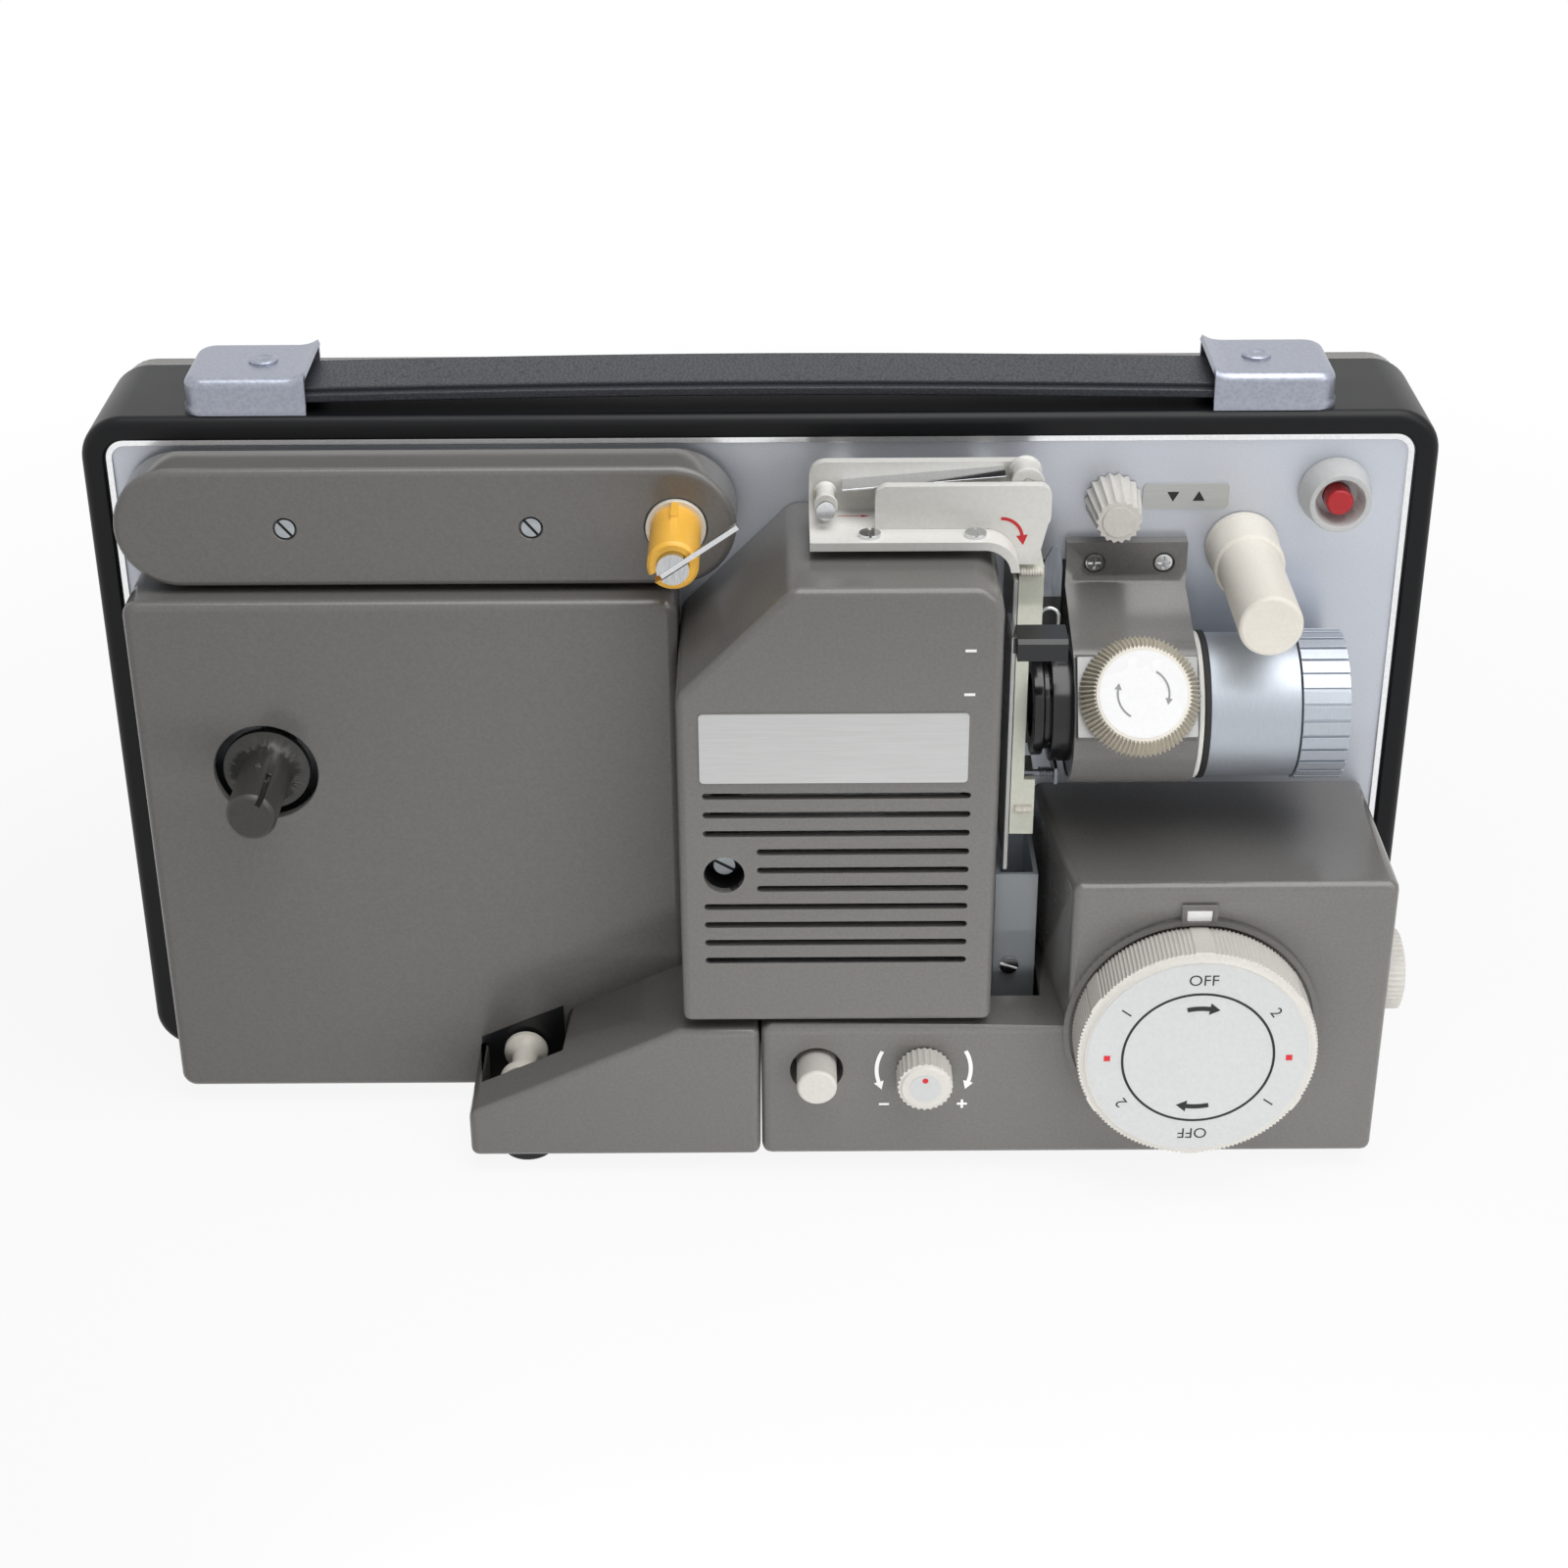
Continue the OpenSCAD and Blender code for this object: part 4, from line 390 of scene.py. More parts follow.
# %% Acrylic and lens glass
def clear_material(name, colour, ior, scuff_mm, roughness, **sockets):
    """A clear or milky solid whose surface carries fine scuffs."""
    material, tree, shader, place = start_finish(
        name, Base_Color=linear(colour), IOR=ior, **sockets
    )
    worn = {"Vector": place, "Scale": 1 / (scuff_mm * MM), "Detail": 6.0}
    scuff = add(tree, "ShaderNodeTexNoise", worn).outputs["Fac"]
    span = {"From Min": 0.35, "From Max": 0.75, "To Min": roughness[0], "To Max": roughness[1]}
    gloss = add(tree, "ShaderNodeMapRange", {"Value": scuff, **span})
    tree.links.new(gloss.outputs["Result"], shader.inputs["Roughness"])
    return material


clear_acrylic = clear_material(
    "scuffed_acrylic", "#cfd5d9", 1.49, 6, (0.04, 0.16), Transmission_Weight=0.6
)
lens_coating = clear_material(
    "coated_lens_glass", "#dfe8f5", 1.52, 10, (0.0, 0.02), Transmission_Weight=1.0, Coat_Weight=1.0
)
print("clear finishes made:", clear_acrylic.name, "and", lens_coating.name)

# %% [markdown]
# ## Printing inks
#
# Marks are screen printed: a thin film of ink that stands a few hundredths of a millimetre proud.
# They could be drawn inside the material of the piece below, but each letter would need a mask. So
# they are modelled 0.05 mm thick: they catch the light as ink does and never share a plane with
# the surface below.

# %% Inks
INK_T = 0.05 * MM


def ink(colour, dark, light):
    """A matt film of ink, a little uneven as screen printing leaves it."""
    return grained(colour + "_printing_ink", dark, light, 0.6, (0.4, 0.5), 0.002)


black_ink = ink("black", "#141414", "#1d1d1d")
red_ink = ink("red", "#c01d26", "#cc252d")
white_ink = ink("white", "#f0f0ee", "#f6f6f4")
grey_ink = ink("grey", "#8b8b8b", "#979797")
print("inks made,", round(INK_T / MM, 2), "mm thick")

# %% [markdown]
# ## Rounding the solids
#
# A CAD node's mesh is loose triangles with knife edges. It is never changed itself: a copy is
# welded, its flat triangles are joined into whole faces, and its convex edges are bevelled with
# as small a radius as the real piece has. The copy then stands for the node. A bevel modifier
# would do too, but the operator lets each piece choose its edges. Weighted normals keep the flat
# faces flat between the bevels.

# %% Copy, round and finish
WELD = 0.002 * MM
FLAT = math.radians(0.6)
SHARP = math.radians(32)
STAYS_SHARP = math.radians(50)


def flat_copy(node):
    """The node's mesh, welded, with the triangles of each flat face joined."""
    form = bmesh.new()
    form.from_mesh(nodes[node].data)
    bmesh.ops.remove_doubles(form, verts=form.verts, dist=WELD)
    bmesh.ops.dissolve_limit(
        form, angle_limit=FLAT, verts=form.verts, edges=form.edges, delimit=set()
    )
    return form


def corner_edges(form):
    """The convex edges that turn by more than the sharp angle."""
    return [e for e in form.edges if e.is_convex and e.calc_face_angle(0) > SHARP]


def round_off(form, geom, width_mm, segments, clamp=True, affect="EDGES"):
    """Bevels these edges, or the corners of flat work, to a round of that width."""
    bmesh.ops.bevel(
        form,
        geom=geom,
        offset=width_mm * MM,
        offset_type="OFFSET",
        segments=segments,
        profile=0.5,
        affect=affect,
        clamp_overlap=clamp,
        loop_slide=False,
        material=-1,
    )


def rounded_copy(node, width_mm):
    """The node's mesh with a small round on every corner."""
    form = flat_copy(node)
    round_off(form, corner_edges(form), width_mm, segments=2)
    return form


def cut(form, place, across):
    """Cuts the faces that a plane crosses."""
    whole = form.verts[:] + form.edges[:] + form.faces[:]
    bmesh.ops.bisect_plane(form, geom=whole, dist=WELD / 10, plane_co=place, plane_no=across)


def make_piece(name, form, finish, body, stands_for=()):
    """The form as an object at the origin, smooth but for its sharp edges, riding on a body."""
    mesh = bpy.data.meshes.new(name)
    form.to_mesh(mesh)
    form.free()
    mesh.shade_smooth()
    mesh.set_sharp_from_angle(angle=STAYS_SHARP)
    for material in finish if isinstance(finish, list) else [finish]:
        mesh.materials.append(material)
    piece = bpy.data.objects.new(name, mesh)
    bpy.context.scene.collection.objects.link(piece)
    normals = piece.modifiers.new("flat_faces", "WEIGHTED_NORMAL")
    normals.keep_sharp = True
    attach(piece, body)
    if stands_for:
        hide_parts(*stands_for)


def body_of(node):
    """The name of the body that a node rides on."""
    return nodes[node]["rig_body"]


print("edges that turn by more than", round(math.degrees(SHARP)), "degrees get a round")

# %% [markdown]
# ## Pieces with one small round
#
# Knobs, rollers, feet and levers are small mouldings and turned parts, so every corner gets the
# same small round. So does the rear cover, because its solid has the large curves already. The
# table gives each its finish and the width of its round in millimetres, and one loop makes all.

# %% Pieces with one small round
small_rounds = {
    "feet": (rubber, 1.0),
    "tilt_foot": (rubber, 0.8),
    "spindle_collar": (cream_plastic, 0.25),
    "supply_spindle": (yellow_plastic, 0.3),
    "spindle_stud": (plated_steel, 0.2),
    "reel_clip": (chrome, 0.25),
    "take_up_spindle": (dark_nylon, 0.3),
    "film_guide": (guide_plastic, 0.45),
    "guide_plate": (guide_plastic, 0.4),
    "guide_roller_left": (guide_plastic, 0.3),
    "guide_roller_right": (guide_plastic, 0.3),
    "tension_strip": (chrome, 0.1),
    "aperture_plate": (plate_metal, 0.12),
    "pressure_gate": (gate_paint, 0.35),
    "lower_guide": (clear_acrylic, 0.25),
    "exit_roller": (cream_plastic, 0.4),
    "lens_barrel": (turned_aluminium, 0.3),
    "rear_barrel": (black_anodised, 0.3),
    "zoom_ring": (turned_aluminium, 0.1),
    "steel_screws": (chrome, 0.15),
    "framing_knob": (dial_plastic, 0.15),
    "inching_knob": (cream_plastic, 0.35),
    "button_bezel": (white_plastic, 0.3),
    "push_button": (red_plastic, 0.25),
    "dial_knob": (dial_plastic, 0.1),
    "slow_button": (dial_plastic, 0.3),
    "speed_knob": (dial_plastic, 0.1),
    "tilt_knob": (dial_plastic, 0.12),
    "mains_inlet": (black_plastic, 0.4),
    "lens_holder": (cover_plastic, 0.6),
    "rear_cover": (cover_plastic, 0.4),
}
for node, (finish, width_mm) in small_rounds.items():
    form = rounded_copy(node, width_mm)
    make_piece(node + "_finished", form, finish, body_of(node), [node])
print("rounded", len(small_rounds), "pieces")

# %% [markdown]
# ## Pieces that keep their solid
#
# What lies behind the panel and the covers shows only through slots and when the lamphouse is
# off, and the lens elements and the gate's spring have no corners to round. So these CAD solids
# stay as they are and only get their finish.

# %% Pieces that keep their solid
kept_solids = {
    "chassis_plate": zinc,
    "lamp": mirror,
    "lamp_socket": dark_nylon,
    "arm_pivot": plated_steel,
    "take_up_pulley": black_plastic,
    "take_up_belt": rubber,
    "main_shaft": plated_steel,
    "shaft_bearings": bronze,
    "shutter": black_anodised,
    "motor": zinc,
    "motor_rotor": dark_nylon,
    "drive_belt": rubber,
    "transformer": varnished_core,
    "lens_glass": lens_coating,
    "gate_spring": spring_steel,
}
for node, finish in kept_solids.items():
    nodes[node].data.materials.clear()
    nodes[node].data.materials.append(finish)
print("finished", len(kept_solids), "solids as they are")

# %% [markdown]
# ## Covers with generous rounds
#
# The mouldings and the case have rounds of 2 to 3 mm on the edges a hand meets, and only a
# hairline round at holes and slots. One bevel can't give both, so the edges are sorted first.
# Both kinds start from the front plane: its edges fall into loops, the widest loop is the
# outline, and the others are holes. Long edges that run back from the front are rounded as well.

# %% Find the outline of a front
LOOKS_FORWARD = -0.99
IN_PLANE = 10 * WELD
SIDE_LENGTH, SIDE_DRIFT = metres(15, 12)


def front_plane(form):
    """Where the largest of the faces that look to the front stands."""
    facing = [f for f in form.faces if f.normal.y < LOOKS_FORWARD]
    return max(facing, key=lambda f: f.calc_area()).calc_center_median().y


def span_x(edges):
    """How far a group of edges reaches from left to right."""
    xs = [v.co.x for e in edges for v in e.verts]
    return max(xs) - min(xs)


def front_loops(form):
    """The sharp edges in the front plane, as groups that touch, the widest group first."""
    front = front_plane(form)
    left_over = {
        e for e in corner_edges(form) if all(abs(v.co.y - front) < IN_PLANE for v in e.verts)
    }
    groups = []
    while left_over:
        group, reach = [], [left_over.pop()]
        while reach:
            edge = reach.pop()
            group.append(edge)
            near = {e for v in edge.verts for e in v.link_edges} & left_over
            left_over -= near
            reach.extend(near)
        groups.append(group)
    return sorted(groups, key=lambda g: -span_x(g))


def side_edges(form):
    """Long sharp edges that run back from the front."""
    return [
        e
        for e in corner_edges(form)
        if abs(e.verts[0].co.y - e.verts[1].co.y) > SIDE_LENGTH
        and abs(e.verts[0].co.x - e.verts[1].co.x) < SIDE_DRIFT
    ]


# %% Round the covers
covers = {
    "take_up_cover": (cover_plastic, 2.6, 0.5),
    "supply_arm": (cover_plastic, 1.8, 0.3),
    "base_cover": (cover_plastic, 2.2, 0.4),
    "control_housing": (cover_plastic, 2.6, 0.3),
    "lamphouse_cover": (cover_plastic, 2.2, 0.2),
    "case_band": (case_enamel, 2.4, 0.8),
}
for node, (finish, outer_mm, hole_mm) in covers.items():
    form = flat_copy(node)
    loops = front_loops(form)
    outline = loops[0] + side_edges(form)
    holes = [e for loop in loops[1:] for e in loop]
    print(node, "outline edges", len(outline), "hole edges", len(holes))
    if holes:
        round_off(form, holes, hole_mm, segments=2)
    outline = [e for e in outline if e.is_valid]
    round_off(form, outline, outer_mm, segments=4, clamp=False)
    make_piece(node + "_finished", form, finish, body_of(node), [node])

# %% [markdown]
# ## Pieces with two finishes
#
# Some pieces are one solid with two surfaces. They could be cut apart, but a mesh may hold two
# materials, and a test on each face says which one it takes. The panel is one pressing whose
# narrow lip is polished. The selector is a black slider moulded over a steel pointer. The leaf
# beside the gate is black below as painted shade, so it is cut there first. On the focus knob,
# the flanks between the teeth are a darker cream than the crests as painted shade, and the slot
# of a screw is dark as painted shade too. Both are places where faces meet in a valley, so the
# angles at the edges of a face find them, with no list of faces to keep.

# %% Tests for the second finish
PANEL_FRONT, SLIDER_LEFT, LEAF_SHADE_TOP = metres(-11.5, 61.0, 146)
CLEAR = 0.05 * MM
VALLEY, FLANK = math.radians(25), 0.7
focus = next(j for j in frame["joints"] if j["name"] == "focus_turn")
focus_axis = Vector(focus["axis"]).normalized()


def on_lip(face):
    """Whether the face stands in front of the panel's sheet."""
    return face.calc_center_median().y < PANEL_FRONT - CLEAR


def on_pointer(face):
    """Whether the face lies to the left of the selector's slider."""
    return face.calc_center_median().x < SLIDER_LEFT - CLEAR


def low_on_leaf(face):
    """Whether the face is in the lower half of the leaf."""
    return face.calc_center_median().z < LEAF_SHADE_TOP


def in_valley(face):
    """Whether the face meets another in a valley."""
    return any(not e.is_convex and e.calc_face_angle(0) > VALLEY for e in face.edges)


def on_flank(face):
    """Whether the face is the flank of a tooth of the focus knob."""
    return in_valley(face) and abs(face.normal.dot(focus_axis)) < FLANK


print("a valley turns by more than", round(math.degrees(VALLEY)), "degrees")

# %% Pieces with two finishes
two_finishes = {
    "front_panel": ("panel", 0.25, [panel_paint, polished_edge], on_lip),
    "selector_lever": ("selector", 0.6, [black_plastic, plated_steel], on_pointer),
    # The leaf's lower half is black as painted shade.
    "gate_arm": ("gate_arm", 0.2, [spring_steel, black_plastic], low_on_leaf),
    # The flanks between the knob's teeth are darker cream as painted shade.
    "focus_knob": ("focus_knob", 0.2, [cream_plastic, groove_shade_cream], on_flank),
    # The slots of the screws are dark as painted shade.
    "cover_screw": ("cover_screw", 0.25, [zinc, slot_shade_steel], in_valley),
    "arm_screws": ("arm_screws", 0.15, [zinc, slot_shade_steel], in_valley),
}
for node, (name, width_mm, finishes, takes_second) in two_finishes.items():
    form = rounded_copy(node, width_mm)
    if node == "gate_arm":
        cut(form, (0, 0, LEAF_SHADE_TOP), (0, 0, 1))
    for face in form.faces:
        face.material_index = int(takes_second(face))
    print(name, "faces with the second finish", sum(f.material_index for f in form.faces))
    make_piece(name + "_finished", form, finishes, body_of(node), [node])

# %% [markdown]
# ## Handle caps
#
# Each end of the strap slides in a cap pressed from sheet steel: a shallow box, open below and
# towards the strap, with a flared mouth, round corners and a narrow step round its foot. A
# subdivided cage would blur the flat top, so a cube without those two faces is bevelled instead.
# Cuts near the mouth and the foot give the flare and the step something to bend at, and the shell
# is mirrored before solidify gives both caps their sheet. A turned boss sits on top.

# %% Shell of a cap
CAP_L, CAP_H, SHEET = metres(30.0, 9.0, 1.2)
FOOT, FOOT_H, FOOT_STEP = metres(0.5, 1.5, 0.8)
FLARE, FLARE_L, FLARE_CUTS = *metres(1.4, 4.5), (0.3, 0.6, 1.0)
CORNER_MM, RIM_MM = 5.0, 2.2
BELOW_RIM = 2.3 * MM
cap_low, cap_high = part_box("handle_caps")
cap_w = cap_high.y - cap_low.y - 2 * FOOT
cap_mouth = Vector((cap_high.x - FOOT - CAP_L, (cap_low.y + cap_high.y) / 2, cap_low.z))


def inner_edges(form, place):
    """The edges between two faces whose ends are both at the place."""
    return [e for e in form.edges if all(place(v) for v in e.verts) and not e.is_boundary]


def cap_shell():
    """The outside of the right cap, with its mouth at the origin."""
    form = bmesh.new()
    bmesh.ops.create_cube(form, size=1.0)
    bmesh.ops.scale(form, vec=(CAP_L, cap_w, CAP_H), verts=form.verts)
    bmesh.ops.translate(form, vec=(CAP_L / 2, 0, CAP_H / 2), verts=form.verts)
    open_sides = [f for f in form.faces if f.normal.z < -0.9 or f.normal.x < -0.9]
    bmesh.ops.delete(form, geom=open_sides, context="FACES")
    far_end = inner_edges(form, lambda v: v.co.x > CAP_L - WELD)
    upright = [e for e in far_end if abs(e.verts[0].co.y - e.verts[1].co.y) < WELD]
    round_off(form, upright, CORNER_MM, segments=8)
    rim = inner_edges(form, lambda v: v.co.z > CAP_H - WELD)
    round_off(form, rim, RIM_MM, segments=5)
    for part in FLARE_CUTS:
        cut(form, (FLARE_L * part, 0, 0), (1, 0, 0))
    for height in (FOOT_H, FOOT_H + FOOT_STEP):
        cut(form, (0, 0, height), (0, 0, 1))
    form.normal_update()
    for v in form.verts:
        if v.co.z < FOOT_H + WELD:
            v.co += Vector((v.normal.x, v.normal.y, 0)).normalized() * FOOT
        elif v.co.z > CAP_H - BELOW_RIM and v.co.x < FLARE_L:
            v.co.z += FLARE * (1 - v.co.x / FLARE_L) ** 2
    return form


# %% Both caps with their bosses
FULL_TURN = 2 * math.pi
BOSS_FROM_MOUTH = 11.8 * MM
BOSS_OUTLINE_MM = [(0, 0.5), (1.8, 0.5), (2.2, 0.9), (3.1, 0.9), (3.6, 0.5), (3.6, -0.4), (0, -0.4)]


def spin(form, geom, centre, axis, steps, sweep=FULL_TURN):
    """Spins an outline about an axis. A full turn closes on itself."""
    closes = sweep == FULL_TURN
    turn = {"cent": centre, "axis": axis, "angle": sweep, "use_merge": closes}
    return bmesh.ops.spin(form, geom=geom, steps=steps, **turn)


def add_boss(form, place):
    """A low turned boss with a dished top, spun about an upright axis."""
    made = [form.verts.new(place + Vector((r, 0, z)) * MM) for r, z in BOSS_OUTLINE_MM]
    edges = [form.edges.new(pair) for pair in zip(made, made[1:])]
    spin(form, made + edges, place, (0, 0, 1), steps=40)


form = cap_shell()
bmesh.ops.translate(form, vec=cap_mouth, verts=form.verts)
whole = form.verts[:] + form.edges[:] + form.faces[:]
bmesh.ops.mirror(form, geom=whole, matrix=Matrix(), axis="X")
bmesh.ops.recalc_face_normals(form, faces=form.faces)
bmesh.ops.solidify(form, geom=form.faces[:], thickness=SHEET)
sheet = set(form.faces)
for side in (-1, 1):
    boss_x = side * (cap_mouth.x + BOSS_FROM_MOUTH)
    add_boss(form, Vector((boss_x, cap_mouth.y, cap_mouth.z + CAP_H)))
bmesh.ops.remove_doubles(form, verts=form.verts, dist=WELD / 4)
bmesh.ops.recalc_face_normals(form, faces=[f for f in form.faces if f not in sheet])
print("caps", len(form.faces), "faces", round(form.calc_volume(signed=True) / MM**3), "cubic mm")
make_piece("caps_finished", form, cap_paint, "body", ["handle_caps"])

# %% [markdown]
# ## Handle strap
#
# The strap is a long strip of vinyl round a spring-steel core. Its middle is padded and its border
# is thin, and it bows up a little between the caps. Cloth would make it limp, and a real strap of
# this kind is stiff. So a grid is cut into steps along its length, thickened, given its padded
# middle by an inset, and then bowed.

# %% Handle strap
STRAP_T, PAD_T, BORDER = metres(2.2, 1.1, 2.2)
STRAP_STEPS = 60
STRAP_EDGE_MM = 0.5
BOW = 1.3 * MM
LOOKS_UP = 0.9
strap_low, strap_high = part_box("handle_strap")


def push(form, faces, by, keep=False):
    """Extrudes faces by a step and gives the moved ones. Keep leaves the first ones in place."""
    made = bmesh.ops.extrude_face_region(form, geom=faces, use_keep_orig=keep)["geom"]
    moved = [g for g in made if isinstance(g, bmesh.types.BMVert)]
    bmesh.ops.translate(form, vec=by, verts=moved)
    return [g for g in made if isinstance(g, bmesh.types.BMFace)]


def strap_form():
    """The strap in its place: a slab with a raised middle, bowed between the caps."""
    form = bmesh.new()
    length, width = strap_high.x - strap_low.x, strap_high.y - strap_low.y
    bmesh.ops.create_grid(form, x_segments=STRAP_STEPS, y_segments=1, size=0.5)
    bmesh.ops.scale(form, vec=(length, width, 1), verts=form.verts)
    push(form, form.faces[:], (0, 0, STRAP_T), keep=True)
    bmesh.ops.recalc_face_normals(form, faces=form.faces)
    lid = [f for f in form.faces if f.normal.z > LOOKS_UP]
    bmesh.ops.inset_region(form, faces=lid, thickness=BORDER, depth=0)
    inside = width / 2 - BORDER / 2
    lid = [f for f in form.faces if f.normal.z > LOOKS_UP]
    push(form, [f for f in lid if all(abs(v.co.y) < inside for v in f.verts)], (0, 0, PAD_T))
    round_off(form, corner_edges(form), STRAP_EDGE_MM, segments=3)
    for v in form.verts:
        v.co.z += BOW * max(0, math.cos(math.pi / 2 * v.co.x / cap_mouth.x))
    middle = (strap_low + strap_high) / 2
    underside = strap_high.z - STRAP_T - PAD_T
    bmesh.ops.translate(form, vec=(middle.x, middle.y, underside), verts=form.verts)
    return form


make_piece("strap", strap_form(), strap_vinyl, "strap", ["handle_strap"])
print("strap", [in_mm(x) for x in strap_high - strap_low], "mm")

# %% [markdown]
# ## Flat work: plates, bands and arrows
#
# Plates and marks are drawn lying in the XY plane and facing up, thickened, and then stood up
# where they belong. A band is an edge that is spun about the middle, so a ring and the shaft of a
# curved arrow are the same operation with another sweep. Curves could be filled instead, but they
# would need to be turned into meshes one by one.


# %% Flat shapes
def disc(radius, segments):
    """A new form that holds one flat disc."""
    form = bmesh.new()
    bmesh.ops.create_circle(form, cap_ends=True, radius=radius, segments=segments)
    return form


def flat_face(form, corners_mm):
    """One flat face from its corners, given as X and Y in millimetres."""
    form.faces.new([form.verts.new((x * MM, y * MM, 0)) for x, y in corners_mm])


def rectangle(form, width, height, corner=0.0, centre=(0, 0, 0)):
    """A flat rectangle with round corners."""
    made = bmesh.ops.create_grid(form, x_segments=1, y_segments=1, size=0.5)["verts"]
    bmesh.ops.scale(form, vec=(width, height, 1), verts=made)
    bmesh.ops.translate(form, vec=centre, verts=made)
    if corner:
        round_off(form, made, corner / MM, segments=5, clamp=False, affect="VERTICES")


def band(form, radius, width, start, sweep, steps):
    """A flat band about the origin: an edge across it is spun by the sweep."""
    across = Vector((math.cos(start), math.sin(start), 0))
    ends = [form.verts.new(across * (radius + side * width / 2)) for side in (-1, 1)]
    spin(form, [*ends, form.edges.new(ends)], (0, 0, 0), (0, 0, 1), steps, sweep)


def curved_arrow(form, radius, width, begin, sweep, steps, head):
    """A band with a head of that length and width. Begin and sweep are in degrees."""
    start, sweep = math.radians(begin), math.radians(sweep)
    band(form, radius, width, start, sweep, steps)
    end = start + sweep
    out = Vector((math.cos(end), math.sin(end), 0))
    along = Vector((-out.y, out.x, 0)) * math.copysign(1, sweep)
    foot = out * radius
    corners = [foot - out * head[1] / 2, foot + out * head[1] / 2, foot + along * head[0]]
    form.faces.new([form.verts.new(c) for c in corners])


# %% Stand flat work up and make it a piece
def stand(place, turn=0.0, lean=0.0):
    """The matrix that stands flat work up to face the front, turned and leaned back."""
    return (
        Matrix.Translation(place)
        @ Matrix.Rotation(math.pi / 2 - lean, 4, "X")
        @ Matrix.Rotation(turn, 4, "Z")
    )


def mark(name, form, finish, body, matrix, thickness=INK_T):
    """Makes flat work a closed slab, puts it in its place and makes it a piece."""
    bmesh.ops.remove_doubles(form, verts=form.verts, dist=WELD)
    push(form, form.faces[:], (0, 0, thickness), keep=True)
    bmesh.ops.recalc_face_normals(form, faces=form.faces)
    bmesh.ops.transform(form, matrix=matrix, verts=form.verts)
    make_piece(name, form, finish, body)


def metal_plate(name, x_mm, z_mm, front, corner, thickness, body):
    """A plate of brushed aluminium between two X and two Z. Gives the middle of its back."""
    middle = Vector((sum(x_mm) / 2 * MM, front, sum(z_mm) / 2 * MM))
    form = bmesh.new()
    rectangle(form, (x_mm[1] - x_mm[0]) * MM, (z_mm[1] - z_mm[0]) * MM, corner)
    mark(name, form, plate_metal, body, stand(middle), thickness)
    return middle


def front_middle(low, high):
    """The middle of the front of a box."""
    return Vector(((low.x + high.x) / 2, low.y, (low.z + high.z) / 2))


# %% Letters
CAPITAL_SHARE = 0.7


def lettering(name, words, height, finish, body, matrix):
    """Plain sign letters as a mesh, centred on the matrix's origin."""
    curve = bpy.data.curves.new(name, "FONT")
    curve.body = words
    curve.size = height / CAPITAL_SHARE
    curve.align_x = "CENTER"
    curve.align_y = "CENTER"
    curve.extrude = INK_T / 2
    writing = bpy.data.objects.new(name + "_curve", curve)
    bpy.context.scene.collection.objects.link(writing)
    settled = writing.evaluated_get(bpy.context.evaluated_depsgraph_get())
    mesh = bpy.data.meshes.new_from_object(settled)
    bpy.data.objects.remove(writing)
    form = bmesh.new()
    form.from_mesh(mesh)
    bpy.data.meshes.remove(mesh)
    bmesh.ops.remove_doubles(form, verts=form.verts, dist=WELD / 4)
    bmesh.ops.transform(form, matrix=matrix, verts=form.verts)
    make_piece(name, form, finish, body)


# %% [markdown]
# ## Name plate and format marks on the lamphouse
#
# The plate is bare brushed aluminium with round corners, stuck on above the louvres. Two short
# ticks beside the gate show where the selector stands for each film format.

# %% Name plate and format marks
PLATE_X_MM, PLATE_Z_MM = (-14.9, 49.5), (115.4, 134.0)
PLATE_CORNER, PLATE_T = metres(1.0, 0.4)
TICK_W, TICK_H, TICK_X = metres(2.6, 0.7, 49.4)
TICKS_Z = metres(150.3, 138.8)
lamp_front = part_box("lamphouse_cover")[0].y
metal_plate("name_plate", PLATE_X_MM, PLATE_Z_MM, lamp_front, PLATE_CORNER, PLATE_T, "lamphouse")

form = bmesh.new()
for z in TICKS_Z:
    rectangle(form, TICK_W, TICK_H, centre=(TICK_X, z, 0))
mark("format_marks", form, white_ink, "lamphouse", stand(Vector((0, lamp_front, 0))))
print("lamphouse front at", in_mm(lamp_front), "mm, with", len(TICKS_Z), "ticks")

# %% [markdown]
# ## Main switch
#
# The knob's face is a printed disc: a ring, two arrows that run clockwise, OFF at the top and
# bottom, numbers for the steps between, and two red squares. Each ink is a piece of its own, so
# that no material has to be painted. A white window in the frame above the knob is the index.

# %% Main switch face
FACE_R, FACE_T = metres(27.6, 0.15)
RING_R, RING_W = metres(18.8, 0.65)
ARROW_R, ARROW_W, ARROW_HEAD = *metres(14.6, 1.3), metres(2.6, 3.4)
WORD_R, WORD_H, SQUARE = metres(22.6, 3.0, 1.6)
WORDS = {90: "OFF", 36: "2", -36: "1", -90: "OFF", 216: "2", 144: "1"}
dial_mid = front_middle(*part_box("dial_knob"))
on_face = dial_mid + Vector((0, -FACE_T, 0))
face = disc(FACE_R, segments=128)
mark("dial_face", face, white_plastic, "dial", stand(dial_mid), FACE_T)

form = bmesh.new()
band(form, RING_R, RING_W, start=0, sweep=FULL_TURN, steps=128)
for begin in (104, -76):
    curved_arrow(form, ARROW_R, ARROW_W, begin, sweep=-22, steps=10, head=ARROW_HEAD)
mark("dial_ring", form, black_ink, "dial", stand(on_face))

form = bmesh.new()
for side in (-1, 1):
    rectangle(form, SQUARE, SQUARE, centre=(side * WORD_R, 0, 0))
mark("dial_squares", form, red_ink, "dial", stand(on_face))

for degrees, word in WORDS.items():
    angle = math.radians(degrees)
    spot = on_face + Vector((math.cos(angle), 0, math.sin(angle))) * WORD_R
    upright = stand(spot, angle - math.pi / 2)
    lettering(f"dial_word_{degrees % 360}", word, WORD_H, black_ink, "dial", upright)
print("main switch face", in_mm(FACE_R), "mm radius,", len(WORDS), "words")

